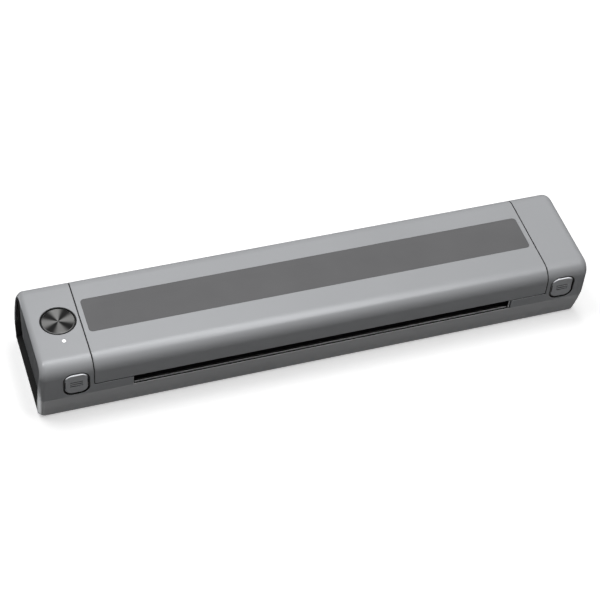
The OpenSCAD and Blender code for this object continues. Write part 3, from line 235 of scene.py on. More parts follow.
class Casing:
    """The casing as a surface of distance u along the body and s round the outline. Past the start of the end
    fillet, u turns by the angle (u - start) / r: x = start + r sin, and the outline draws in by r (1 - cos).
    The end is bowed: x steps back by bow(z), which blends in over the last stretch."""

    def __init__(self, outline, wall, rounded_end=False):
        self.outline, self.wall = outline, wall
        c = bpy.context.scene.printer_casing
        self.end_r, inset = c.end_radius / MM, c.end_inset / MM
        turn = math.acos(1 - inset / self.end_r)
        self.start = RIM_X - self.end_r * math.sin(turn) if rounded_end else 1e6
        self.rim_u = self.start + self.end_r * turn

    def place(self, p, depth, wall=None):
        """Points, normals and the two directions of the surface for rows of (u, s), each at a depth."""
        u, s = p[:, 0], p[:, 1]
        wall = self.wall if wall is None else wall
        side = np.sign(u)
        phi = np.clip(np.abs(u) - self.start, 0, None) / self.end_r
        inset = self.end_r * (1 - np.cos(phi))
        inset = inset * (1 - np.clip(depth / wall, 0, 1)) + depth
        q, n = self.outline.at(s)
        blend = np.clip((np.abs(u) - self.start + 4) / 8, 0, 1)
        blend *= blend * (3 - 2 * blend)
        x = np.minimum(np.abs(u), self.start) + self.end_r * np.sin(phi) - blend * bow(q[:, 1], side)
        co = np.column_stack([side * x, q - n * inset[:, None]])
        flat = np.column_stack([np.zeros(len(u)), n])
        along = np.column_stack([np.ones(len(u)), np.zeros((len(u), 2))])
        cos, sin = np.cos(phi)[:, None], (side * np.sin(phi))[:, None]
        normal = flat * cos + along * sin
        normal[:, 2] += blend * np.sin(phi) * (bow(q[:, 1] + 0.5, side) - bow(q[:, 1] - 0.5, side))
        up = np.column_stack([np.zeros(len(u)), n[:, 1], -n[:, 0]])
        return co, unit(normal), along * cos - flat * sin, up


class Flat:
    """A plane through a point, with two directions in it; depth goes against its normal."""

    def __init__(self, origin, across, up, wall):
        self.origin, self.across, self.up = (np.array(v, float) for v in (origin, across, up))
        self.wall = wall

    def place(self, p, depth, wall=None):
        """As for the casing; a plane needs no wall for it."""
        normal = np.cross(self.across, self.up)
        co = self.origin + p[:, :1] * self.across + p[:, 1:] * self.up - depth[:, None] * normal
        rows = np.ones((len(p), 1))
        return co, rows * normal, rows * self.across, rows * self.up


def each_point(value):
    """A number as a function that gives it for every point; a function stays as it is."""
    return value if callable(value) else (lambda p: np.full(len(p), float(value)))


def inside(points, loop):
    """Whether each point lies in a closed polygon: an odd number of its edges lie to the right."""
    a, b = loop, np.roll(loop, -1, 0)
    x, y = points[:, :1], points[:, 1:]
    spans = (a[:, 1] > y) != (b[:, 1] > y)
    rise = np.where(b[:, 1] == a[:, 1], 1e-9, b[:, 1] - a[:, 1])
    return (spans & (x < a[:, 0] + (y - a[:, 1]) * (b[:, 0] - a[:, 0]) / rise)).sum(1) % 2 == 1


def fill(outer, holes, lines_u, lines_s, clear=0.35):
    """Points and triangles of a region: its border loops, and the grid points of the two sets of lines that
    lie inside it and clear of the border."""
    grid = np.stack(np.meshgrid(lines_u, lines_s, indexing="ij"), -1).reshape(-1, 2)
    keep = inside(grid, outer)
    for hole in holes:
        keep &= ~inside(grid, hole)
    grid = grid[keep]
    border = np.concatenate([outer, *holes])
    if len(grid):
        gap = np.full(len(grid), 1e9)
        for part in np.array_split(border, max(1, len(border) // 400)):
            gap = np.minimum(gap, np.linalg.norm(grid[:, None] - part[None], axis=2).min(1))
        grid = grid[gap > clear]
    points = np.concatenate([border, grid])
    edges, first = [], 0
    for loop in (outer, *holes):
        k = np.arange(len(loop))
        edges += np.stack([first + k, first + (k + 1) % len(loop)], 1).tolist()
        first += len(loop)
    made = geometry.delaunay_2d_cdt([Vector(p) for p in points], edges, [], 0, 1e-6)
    back = np.array([ids[0] if ids else -1 for ids in made[3]])
    tris = back[np.array([f for f in made[2] if len(f) == 3])]
    tris = tris[(tris >= 0).all(1)]
    middle = points[tris].mean(1)
    good = inside(middle, outer)
    for hole in holes:
        good &= ~inside(middle, hole)
    tris = tris[good]
    a, b, c = (points[tris[:, k]] for k in range(3))
    area = (b[:, 0] - a[:, 0]) * (c[:, 1] - a[:, 1]) - (b[:, 1] - a[:, 1]) * (c[:, 0] - a[:, 0])
    tris = tris[np.abs(area) > 1e-9]
    area = area[np.abs(area) > 1e-9]
    tris[area < 0] = tris[area < 0][:, ::-1]
    return points, tris


class Mould:
    """Collects points, normals and faces of one piece, and makes its mesh."""

    def __init__(self):
        self.co, self.no, self.faces, self.count = [], [], [], 0

    def add(self, co, no, faces):
        """Takes in points with their normals, and faces that count from the first of them."""
        self.co.append(co)
        self.no.append(no)
        self.faces.append(np.asarray(faces) + self.count)
        self.count += len(co)

    def grid(self, co, no, closed=False):
        """Triangles between rings of points; when closed, the last ring joins the first. Faces follow the
        given normals."""
        rows, n = co.shape[:2]
        i = np.arange(rows if closed else rows - 1)[:, None]
        k = np.arange(n)[None]
        a, b = i * n + k, i * n + (k + 1) % n
        c, d = (i + 1) % rows * n + (k + 1) % n, (i + 1) % rows * n + k
        quads = np.stack([a, b, c, d], -1).reshape(-1, 4)
        flat, normals = co.reshape(-1, 3), no.reshape(-1, 3)
        tris = np.concatenate([quads[:, [0, 1, 2]], quads[:, [0, 2, 3]]])
        self.add(flat, normals, turned(flat, normals, tris))

    def lathe(self, origin, axis, profile, normals, steps=96):
        """A profile of (radius, distance along the axis) turned about the axis."""
        axis = unit(np.array(axis, float))
        side = unit(np.cross(axis, [0.3, 0.2, 1.0]))
        up = np.cross(axis, side)
        a = np.linspace(0, 2 * np.pi, steps, endpoint=False)
        out = np.cos(a)[:, None] * side + np.sin(a)[:, None] * up
        p, q = np.asarray(profile, float), np.asarray(normals, float)
        co = np.array(origin, float) + p[:, None, :1] * out[None] + p[:, None, 1:] * axis
        no = q[:, None, :1] * out[None] + q[:, None, 1:] * axis
        self.grid(co, no)

    def turned_part(self, origin, axis, corners, bevel=0.15, steps=96):
        """A lathe of an open outline whose inner corners are small arcs."""
        radii = [0] + [bevel] * (len(corners) - 2) + [0]
        p, n = rounded_path(corners, radii, step=50, closed=False, turn_step=30)
        self.lathe(origin, axis, p, n, steps)

    def turned_ring(self, origin, axis, corners, radii, step, turn_step, steps):
        """A lathe of a closed outline with rounded corners."""
        p, n = rounded_path(corners, radii, step, turn_step=turn_step)
        self.lathe(origin, axis, np.vstack([p, p[:1]]), np.vstack([n, n[:1]]), steps)

    def sheet(self, surface, outer, holes=(), lines=((), ()), edge=0.25, wall=None, pockets=(), lip=None):
        """A wall that follows a surface: outer skin, inner skin, and rims round every border. Each border is
        a pair of points and normals that point out of the wall; each pocket adds its depth. edge and lip are
        the radii of a border's outer and inner rounding; each may be a function of the border's points."""
        wall = surface.wall if wall is None else wall
        depth_of, edge_of = each_point(wall), each_point(edge)
        lip_of = edge_of if lip is None else each_point(lip)
        drawn = [[p - out * of(p)[:, None] for p, out in (outer, *holes)] for of in (edge_of, lip_of)]
        sunk = [p - out * edge_of(p)[:, None] for p, out, _ in pockets]
        for hidden, loops in ((False, drawn[0] + sunk), (True, drawn[1])):
            points, tris = fill(loops[0], loops[1:], *lines)
            w = depth_of(points)
            co, no, _, _ = surface.place(points, w if hidden else np.zeros(len(points)), w)
            self.add(co, -no if hidden else no, tris[:, ::-1] if hidden else tris)
        a = np.radians(np.linspace(0, 90, 5))
        for points, out in (outer, *holes):
            e, f, w = edge_of(points), lip_of(points), depth_of(points)
            deep = np.minimum(f, w - e)
            rows = [(e * (np.sin(t) - 1), e * (1 - np.cos(t)), t) for t in a]
            rows += [(f * (np.cos(t) - 1), w - deep * (1 - np.sin(t)), t + np.pi / 2) for t in a]
            self.rim(surface, points, out, rows, w)
        for points, out, depth in pockets:
            e = edge_of(points)
            rows = [(e * (np.sin(t) - 1), e * (1 - np.cos(t)), t) for t in a]
            rows.append((0 * e, depth + 0 * e, a[-1]))
            self.rim(surface, points, out, rows, depth_of(points))
            span = [np.arange(points[:, k].min(), points[:, k].max(), 4.0) for k in (0, 1)]
            floor, tris = fill(points, [], *span)
            co, no, _, _ = surface.place(floor, np.full(len(floor), float(depth)), depth_of(floor))
            self.add(co, no, tris)

    def rim(self, surface, points, out, rows, wall):
        """Rows of points beside a border, each an offset along its normal, a depth and the angle turned."""
        co, no = [], []
        for offset, depth, angle in rows:
            p, normal, along, up = surface.place(points + out * offset[:, None], depth, wall)
            away = out[:, :1] * along + out[:, 1:] * up
            co.append(p)
            no.append(normal * np.cos(angle) + away * np.sin(angle))
        self.grid(np.array(co), np.array(no))

    def block(self, low, high, edge=0.2):
        """A box with small rounded edges: a rounded outline in x-y, drawn in at top and bottom."""
        low, high = np.array(low, float), np.array(high, float)
        e = min(edge, (high - low).min() / 2.01)
        (x0, y0, z0), (x1, y1, z1) = low, high
        p, n = rounded_path([(x0, y0), (x0, y1), (x1, y1), (x1, y0)], e, step=1e3, turn_step=45)
        n = -n if (n * (p - (low + high)[:2] / 2)).sum() < 0 else n
        co, no = [], []
        for z, s in ((z0, -1), (z1, 1)):
            for t in np.radians(np.linspace(90, 0, 4) if s < 0 else np.linspace(0, 90, 4)):
                draw = e * (1 - np.cos(t))
                co.append(np.column_stack([p - n * draw, np.full(len(p), z - s * e * (1 - np.sin(t)))]))
                no.append(np.column_stack([n * np.cos(t), np.full(len(p), s * np.sin(t))]))
        self.grid(np.array(co), np.array(no))
        for k, s in ((0, -1), (-1, 1)):
            middle = co[k].mean(0)
            ring = np.vstack([co[k], middle])
            m = len(co[k])
            i = np.arange(m)
            fan = np.stack([i, (i + 1) % m, np.full(m, m)], 1)
            normal = np.tile([0.0, 0.0, s], (m + 1, 1))
            self.add(ring, normal, turned(ring, normal, fan))

    def piece(self, name, body, material, slot, *nodes):
        """Joins equal points, makes the mesh with the given normals, and hangs the piece on its body."""
        co, no, faces = np.concatenate(self.co), np.concatenate(self.no), np.concatenate(self.faces)
        key = np.round(np.column_stack([co * 1e4, unit(no) * 50])).astype(np.int64)
        _, first, same = np.unique(key, axis=0, return_index=True, return_inverse=True)
        faces = same.ravel()[faces]
        co, no = co[first], no[first]
        good = (faces[:, 0] != faces[:, 1]) & (faces[:, 1] != faces[:, 2]) & (faces[:, 2] != faces[:, 0])
        faces = faces[good]
        mesh = bpy.data.meshes.new(name)
        mesh.from_pydata((co * MM).tolist(), [], faces.tolist())
        mesh.polygons.foreach_set("use_smooth", np.ones(len(faces), bool))
        mesh.update()
        mesh.normals_split_custom_set_from_vertices(unit(no).tolist())
        mesh.materials.append(material)
        piece = bpy.data.objects.new(name, mesh)
        bpy.context.scene.collection.objects.link(piece)
        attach(piece, body)
        if nodes:
            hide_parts(*nodes)
        return piece


def turned(co, no, tris):
    """Triangles with their points in the order that makes them face along the normals."""
    a, b, c = (co[tris[:, k]] for k in range(3))
    wrong = (np.cross(b - a, c - a) * no[tris].sum(1)).sum(1) < 0
    tris = tris.copy()
    tris[wrong] = tris[wrong][:, ::-1]
    return tris


# Materials

def material(name):
    """An empty node material with its principled shader."""
    made = bpy.data.materials.new(name)
    made.use_nodes = True
    return made, made.node_tree, made.node_tree.nodes["Principled BSDF"]


def place_in(tree):
    """Object coordinates: places in the frame, in metres."""
    return tree.nodes.new("ShaderNodeTexCoord").outputs["Object"]


def axes_of(tree, vector):
    """The outputs X, Y and Z of a vector."""
    split = tree.nodes.new("ShaderNodeSeparateXYZ")
    tree.links.new(vector, split.inputs["Vector"])
    return split.outputs


def length_of(tree, vector):
    """The length of a vector."""
    node = tree.nodes.new("ShaderNodeVectorMath")
    node.operation = "LENGTH"
    tree.links.new(vector, node.inputs[0])
    return node.outputs["Value"]


def noise(tree, scale, detail=2.0, kind="ShaderNodeTexNoise", stretch=None):
    """A noise texture on object coordinates, stretched along the axes if asked."""
    source = place_in(tree)
    if stretch is not None:
        mapping = tree.nodes.new("ShaderNodeMapping")
        mapping.inputs["Scale"].default_value = stretch
        tree.links.new(source, mapping.inputs["Vector"])
        source = mapping.outputs["Vector"]
    node = tree.nodes.new(kind)
    node.inputs["Scale"].default_value = scale
    if "Detail" in node.inputs:
        node.inputs["Detail"].default_value = detail
    tree.links.new(source, node.inputs["Vector"])
    return node


def spread(tree, value, low, high):
    """A value from 0 to 1 taken to the range from low to high."""
    node = tree.nodes.new("ShaderNodeMapRange")
    node.inputs["To Min"].default_value = low
    node.inputs["To Max"].default_value = high
    tree.links.new(value, node.inputs["Value"])
    return node.outputs["Result"]


def tinted(tree, value, dark, light):
    """A colour that runs from dark to light with a value."""
    ramp = tree.nodes.new("ShaderNodeValToRGB")
    ramp.color_ramp.elements[0].color = (*dark, 1)
    ramp.color_ramp.elements[1].color = (*light, 1)
    tree.links.new(value, ramp.inputs["Fac"])
    return ramp.outputs["Color"]


def bump(tree, shader, height, strength, distance):
    """Relief from a height."""
    node = tree.nodes.new("ShaderNodeBump")
    node.inputs["Strength"].default_value = strength
    node.inputs["Distance"].default_value = distance
    tree.links.new(height, node.inputs["Height"])
    tree.links.new(node.outputs["Normal"], shader.inputs["Normal"])


def lighter_edges(tree, colour_in, lighter, amount):
    """Lighter where an edge stands out: the pointiness of the mesh picks it."""
    shape = tree.nodes.new("ShaderNodeNewGeometry")
    picked = tree.nodes.new("ShaderNodeMapRange")
    picked.inputs["From Min"].default_value = 0.52
    picked.inputs["From Max"].default_value = 0.62
    picked.inputs["To Max"].default_value = amount
    tree.links.new(shape.outputs["Pointiness"], picked.inputs["Value"])
    mix = tree.nodes.new("ShaderNodeMix")
    mix.data_type = "RGBA"
    tree.links.new(picked.outputs["Result"], mix.inputs["Factor"])
    tree.links.new(colour_in, mix.inputs["A"])
    mix.inputs["B"].default_value = (*lighter, 1)
    return mix.outputs["Result"]


def scaled(colour, factor):
    """A colour made lighter or darker."""
    return tuple(min(1.0, c * factor) for c in colour)


def math_node(tree, operation, a, b):
    """A value worked out from two others, each a socket or a number."""
    node = tree.nodes.new("ShaderNodeMath")
    node.operation = operation
    for socket, value in zip(node.inputs, (a, b)):
        if isinstance(value, (int, float)):
            socket.default_value = value
        else:
            tree.links.new(value, socket)
    return node.outputs["Value"]


def ramp(tree, value, start, end):
    """A smooth rise from 0 to 1 while a value goes from start to end."""
    node = tree.nodes.new("ShaderNodeMapRange")
    node.interpolation_type = "SMOOTHSTEP"
    node.inputs["From Min"].default_value = start
    node.inputs["From Max"].default_value = end
    tree.links.new(value, node.inputs["Value"])
    return node.outputs["Result"]


def rim_highlight(tree):
    """Where the upright rims of the open ends get a painted highlight: beyond a place along the body, and
    below a height that rises towards the back."""
    place, rim = axes_of(tree, place_in(tree)), RIM_X * MM
    behind = math_node(tree, "MULTIPLY", math_node(tree, "MAXIMUM", place["Y"], 0.0), 0.06)
    left = math_node(tree, "SUBTRACT", place["X"], behind)
    left = ramp(tree, left, -rim + 2.2 * MM, -rim + 0.8 * MM)
    right = ramp(tree, place["X"], rim - 1.0 * MM, rim - 0.3 * MM)
    rise = math_node(tree, "MULTIPLY", place["Y"], 0.35)
    low = ramp(tree, math_node(tree, "SUBTRACT", place["Z"], rise), 42 * MM, 20 * MM)
    return math_node(tree, "MULTIPLY", math_node(tree, "MAXIMUM", left, right), low)


def mixed(tree, factor, first, second):
    """A colour between a colour socket and a plain colour."""
    mix = tree.nodes.new("ShaderNodeMix")
    mix.data_type = "RGBA"
    tree.links.new(factor, mix.inputs[0])
    tree.links.new(first, mix.inputs[6])
    mix.inputs[7].default_value = (*second, 1)
    return mix.outputs[2]


def satin_paint(name, colour, rough=0.31, metallic=0.13):
    """Fine metal flake under a satin coat: tiny flakes vary the colour, slow clouds vary the gloss, and the
    upright rims of the ends get a painted highlight, a lighter and more metallic strip."""
    made, tree, shader = material(name)
    flake = noise(tree, 4200, 1.0)
    cloud = noise(tree, 22, 3.0)
    both = math_node(tree, "MULTIPLY", cloud.outputs["Fac"], 0.35)
    both = math_node(tree, "ADD", both, spread(tree, flake.outputs["Fac"], 0.0, 0.65))
    colours = tinted(tree, both, scaled(colour, 0.93), scaled(colour, 1.07))
    # Painted highlight: the upright end rims get a lighter colour and more metal.
    rim = rim_highlight(tree)
    tree.links.new(mixed(tree, rim, colours, (0.56, 0.57, 0.58)), shader.inputs["Base Color"])
    tree.links.new(spread(tree, cloud.outputs["Fac"], rough - 0.05, rough + 0.05), shader.inputs["Roughness"])
    tree.links.new(spread(tree, rim, metallic, 0.95), shader.inputs["Metallic"])
    shader.inputs["Specular IOR Level"].default_value = 0.0
    shader.inputs["Specular Tint"].default_value = (0.05, 0.05, 0.05, 1)
    bump(tree, shader, flake.outputs["Fac"], 0.05, 0.00002)
    return made


def within(tree, value, start, full, fade, end):
    """1 while a value in metres lies from full to fade millimetres, falling to 0 at start and at end."""
    rise, fall = ramp(tree, value, start * MM, full * MM), ramp(tree, value, end * MM, fade * MM)
    return math_node(tree, "MULTIPLY", rise, fall)


def button_paint(name, colour):
    """The satin paint, with a painted highlight on the upper rounding of a cap, and painted shade in its grip
    bars, which the depth and the height of their floors tell from the rest."""
    made = satin_paint(name, colour)
    tree = made.node_tree
    inputs = tree.nodes["Principled BSDF"].inputs
    base, metal = inputs["Base Color"], inputs["Metallic"]
    normal = axes_of(tree, tree.nodes.new("ShaderNodeNewGeometry").outputs["Normal"])
    place = axes_of(tree, place_in(tree))
    # Painted highlight: the upward rounding high on a cap is made lighter and more metallic.
    high = ramp(tree, place["Z"], 28 * MM, 30 * MM)
    upper = math_node(tree, "MULTIPLY", ramp(tree, normal["Z"], 0.15, 0.5), high)
    # Painted shade: the floors of the grip bars are made nearly black.
    deep = within(tree, place["Y"], -31.84, -31.74, -31.6, -31.56)
    sunk = math_node(tree, "MULTIPLY", deep, within(tree, place["Z"], 22.3, 22.5, 27.4, 27.6))
    lighter = mixed(tree, upper, base.links[0].from_socket, scaled(colour, 1.6))
    tree.links.new(mixed(tree, sunk, lighter, scaled(colour, 0.15)), base)
    tree.links.new(math_node(tree, "MAXIMUM", metal.links[0].from_socket, upper), metal)
    return made


def moulded(name, colour, rough=0.5, grain=1800, relief=0.12, specular=0.4):
    """Moulded plastic: a fine spark-eroded grain in the surface, slow changes of gloss."""
    made, tree, shader = material(name)
    fine = noise(tree, grain, 2.0)
    slow = noise(tree, 40, 2.0)
    colours = tinted(tree, slow.outputs["Fac"], scaled(colour, 0.88), scaled(colour, 1.12))
    tree.links.new(lighter_edges(tree, colours, scaled(colour, 1.8), 0.3), shader.inputs["Base Color"])
    tree.links.new(spread(tree, fine.outputs["Fac"], rough - 0.08, rough + 0.08), shader.inputs["Roughness"])
    shader.inputs["Specular IOR Level"].default_value = specular
    bump(tree, shader, fine.outputs["Fac"], relief, 0.00003)
    return made


def rubbery(name, colour):
    """Ground rubber: matt, with a fine stipple and faint rings from the grinding."""
    made, tree, shader = material(name)
    fine = noise(tree, 2600, 2.0)
    rings = noise(tree, 900, 1.0, stretch=(1.0, 0.02, 0.02))
    colours = tinted(tree, rings.outputs["Fac"], scaled(colour, 0.8), scaled(colour, 1.25))
    tree.links.new(colours, shader.inputs["Base Color"])
    tree.links.new(spread(tree, fine.outputs["Fac"], 0.62, 0.82), shader.inputs["Roughness"])
    shader.inputs["Specular IOR Level"].default_value = 0.3
    bump(tree, shader, fine.outputs["Fac"], 0.2, 0.00004)
    return made


def machined(name, colour, rough=0.3):
    """Metal with fine tool marks: noise drawn out along the x axis varies gloss and relief."""
    made, tree, shader = material(name)
    marks = noise(tree, 2500, 2.0, stretch=(0.02, 1.0, 1.0))
    slow = noise(tree, 60, 2.0)
    tree.links.new(tinted(tree, slow.outputs["Fac"], scaled(colour, 0.9), scaled(colour, 1.08)),
                   shader.inputs["Base Color"])
    tree.links.new(spread(tree, marks.outputs["Fac"], rough - 0.08, rough + 0.12), shader.inputs["Roughness"])
    shader.inputs["Metallic"].default_value = 1.0
    bump(tree, shader, marks.outputs["Fac"], 0.08, 0.00002)
    return made


def spun_metal(name, colour, centre, rim_r):
    """Spun button face: rings about the centre, painted highlights and shade as light and dark wedges from
    the angle about the centre, and a bright cut edge beyond rim_r."""
    made, tree, shader = material(name)
    mapping = tree.nodes.new("ShaderNodeMapping")
    mapping.inputs["Location"].default_value = tuple(-c * MM for c in centre)
    mapping.inputs["Scale"].default_value = (1, 1, 0)
    tree.links.new(place_in(tree), mapping.inputs["Vector"])
    place = axes_of(tree, mapping.outputs["Vector"])
    angle = math_node(tree, "ARCTAN2", place["Y"], place["X"])
    wedge = math_node(tree, "COSINE", math_node(tree, "MULTIPLY", angle, 4.0), 0.0)
    radius = length_of(tree, mapping.outputs["Vector"])
    rings = tree.nodes.new("ShaderNodeTexNoise")
    rings.noise_dimensions = "1D"
    rings.inputs["Scale"].default_value = 9000
    tree.links.new(radius, rings.inputs["W"])
    # Painted highlight and shade: the wedges are light and dark in the base colour, by angle alone.
    wedges = tinted(tree, ramp(tree, wedge, -1.0, 1.0), scaled(colour, 0.09), scaled(colour, 1.3))
    edge = ramp(tree, radius, (rim_r - 0.3) * MM, (rim_r - 0.2) * MM)
    tree.links.new(mixed(tree, edge, wedges, (0.3, 0.3, 0.3)), shader.inputs["Base Color"])
    tree.links.new(spread(tree, rings.outputs["Fac"], 0.28, 0.5), shader.inputs["Roughness"])
    shader.inputs["Metallic"].default_value = 0.55
    shader.inputs["Specular IOR Level"].default_value = 0.05
    bump(tree, shader, rings.outputs["Fac"], 0.12, 0.00002)
    return made


def lamp_plastic(name):
    """Clear white light pipe, lit from below."""
    made, tree, shader = material(name)
    soft = noise(tree, 600, 1.0)
    tree.links.new(tinted(tree, soft.outputs["Fac"], (0.86, 0.88, 0.9), (1.0, 1.0, 1.0)),
                   shader.inputs["Base Color"])
    shader.inputs["Roughness"].default_value = 0.25
    shader.inputs["Emission Color"].default_value = (1, 1, 1, 1)
    shader.inputs["Emission Strength"].default_value = 0.9
    return made


def circuit_board(name):
    """Green lacquer over copper: a fine pattern of cells shows as paler spots."""
    made, tree, shader = material(name)
    cells = noise(tree, 260, 0.0, kind="ShaderNodeTexVoronoi")
    tree.links.new(tinted(tree, cells.outputs["Distance"], (0.05, 0.22, 0.10), (0.012, 0.10, 0.045)),
                   shader.inputs["Base Color"])
    shader.inputs["Roughness"].default_value = 0.35
    bump(tree, shader, cells.outputs["Distance"], 0.1, 0.00003)
    return made


def finishes(context):
    """Every material of the object by its name."""
    c = context.scene.printer_colours
    return {
        "paint": satin_paint("satin_grey_paint", tuple(c.paint)),
        "cap": button_paint("button_grey_paint", scaled(c.paint, 1.28)),
        "band": satin_paint("lower_grey_paint", tuple(c.band), rough=0.45, metallic=0.31),
        "inlay": moulded("inlay_print", tuple(c.inlay), rough=0.55, grain=2400, relief=0.04, specular=0.25),
        # Painted shade: the end plates take the body's paint made darker, for the shade of the recess.
        "end": satin_paint("end_plate_shaded_paint", (0.26, 0.266, 0.275), rough=0.45, metallic=0.2),
        "black": moulded("black_plastic", (0.012, 0.012, 0.0125), rough=0.45),
        "liner": moulded("liner_black", (0.004, 0.004, 0.004), rough=0.6, specular=0.2),
        "rubber": rubbery("foot_rubber", (0.02, 0.02, 0.021)),
        "roller": rubbery("roller_rubber", (0.024, 0.024, 0.026)),
        "steel": machined("bright_steel", (0.56, 0.57, 0.58), rough=0.28),
        "spring": machined("spring_steel", (0.42, 0.43, 0.45), rough=0.35),
        "sink": machined("sink_aluminium", (0.62, 0.63, 0.65), rough=0.4),
        "brass": machined("pinion_brass", (0.60, 0.42, 0.17), rough=0.3),
        # Painted highlight: the guide strip is grey like the body, made near-white to look lit.
        "guide": moulded("guide_painted_highlight", (0.9, 0.91, 0.92), rough=0.35, relief=0.03, specular=1.0),
        "gear": moulded("gear_acetal", (0.72, 0.71, 0.66), rough=0.42, relief=0.05),
        "board": circuit_board("board_lacquer"),
        "chip": moulded("chip_black", (0.02, 0.02, 0.022), rough=0.55),
        "battery": moulded("battery_wrap", (0.05, 0.11, 0.26), rough=0.3, relief=0.03),
        "ceramic": moulded("ceramic_white", (0.68, 0.63, 0.52), rough=0.25, relief=0.02, specular=0.6),
        "ribbon": moulded("ribbon_amber", (0.36, 0.17, 0.03), rough=0.3, relief=0.02),
        "red": moulded("lead_red", (0.32, 0.015, 0.01), rough=0.4),
        "lead": moulded("lead_black", (0.015, 0.015, 0.015), rough=0.4),
        "light": lamp_plastic("light_white"),
        "button": spun_metal("button_spun_metal", tuple(c.metal), (*CAP_MIDDLE[:2], 0), CAP_R),
    }


FINISHES = {}


def finish(context, name):
    """One material, made with all the others when the first is asked for."""
    if "satin_grey_paint" not in bpy.data.materials:
        FINISHES.update(finishes(context))
    return FINISHES[name]


# Shapes that several pieces share

def upper_outline():
    """Front crease, up, over both long edges, down to the back crease."""
    r = bpy.context.scene.printer_casing.top_radius / MM
    return Outline([(-HALF_D, CREASE_Z), (-HALF_D, TOP_Z), (HALF_D, TOP_Z), (HALF_D, CREASE_Z)], [0, r, r, 0])


def lower_outline():
    """Back crease, down the leaning band, along the bottom, up to the front crease."""
    c = bpy.context.scene.printer_casing
    low, r = HALF_D - c.band_lean / MM, c.foot_radius / MM
    return Outline([(HALF_D, CREASE_Z), (low, BAND_Z), (-low, BAND_Z), (-HALF_D, CREASE_Z)], [0, r, r, 0])


def cover_outline():
    """The cover's front edge, over both long edges, down to the hinge line and partly round the barrel."""
    r = bpy.context.scene.printer_casing.top_radius / MM
    low = HINGE_Z - BARREL_R
    return Outline([(-HALF_D, COVER_EDGE_Z), (-HALF_D, TOP_Z), (HALF_D, TOP_Z), (HALF_D, low),
                    (HINGE_Y - 0.2, low)], [0, r, r, BARREL_R, 0])


def grid_lines(low, high, step, fine=()):
    """Even steps from low to high, and finer ones within each fine stretch."""
    lines = [np.arange(low + step / 2, high, step)]
    for a, b, s in fine:
        lines.append(np.arange(a, b, s))
    lines = np.sort(np.concatenate(lines))
    return lines[np.concatenate([[True], np.diff(lines) > 0.3])]


def arc_stretches(outline, r):
    """Stretches of the outline where its two long edges turn."""
    length = r * np.pi / 2
    first = TOP_Z - r - outline.p[0, 1]
    second = first + length + 2 * (HALF_D - r)
    return (first, first + length, 0.7), (second, second + length, 0.7)


def round_loop(u, s, r, steps=48):
    """A circle as a border: points and normals towards its middle."""
    a = np.linspace(0, 2 * np.pi, steps, endpoint=False)
    ring = np.stack([np.cos(a), np.sin(a)], 1)
    return np.array([u, s]) + r * ring, -ring


def box_loop(u, s, w, h, r, step=0.7):
    """A rectangle with round corners as a border, its normals towards its middle."""
    a, b = w / 2, h / 2
    corners = [(u - a, s - b), (u + a, s - b), (u + a, s + b), (u - a, s + b)]
    return rounded_path(corners, r, step, turn_step=9)


def plate_loop(u, s, a, b, r, step):
    """The border of a plate with round corners, a and b its half sizes, its normals away from its middle."""
    corners = [(u - a, s - b), (u - a, s + b), (u + a, s + b), (u + a, s - b)]
    return rounded_path(corners, r, step, turn_step=9)


def end_walls(casing, wall, end_wall):
    """Wall thickness that grows from wall to end_wall over the last stretch before the open end."""
    def thickness(points):
        t = np.clip((np.abs(points[:, 0]) - casing.start + 3) / 3, 0, 1)
        return wall + (end_wall - wall) * t
    return thickness


def end_lips(casing, edge_of):
    """A broad rounding of the inner side at the open end, the border's own rounding elsewhere."""
    return lambda points: np.where(np.abs(points[:, 0]) > casing.rim_u - 0.6, 1.7, edge_of(points))


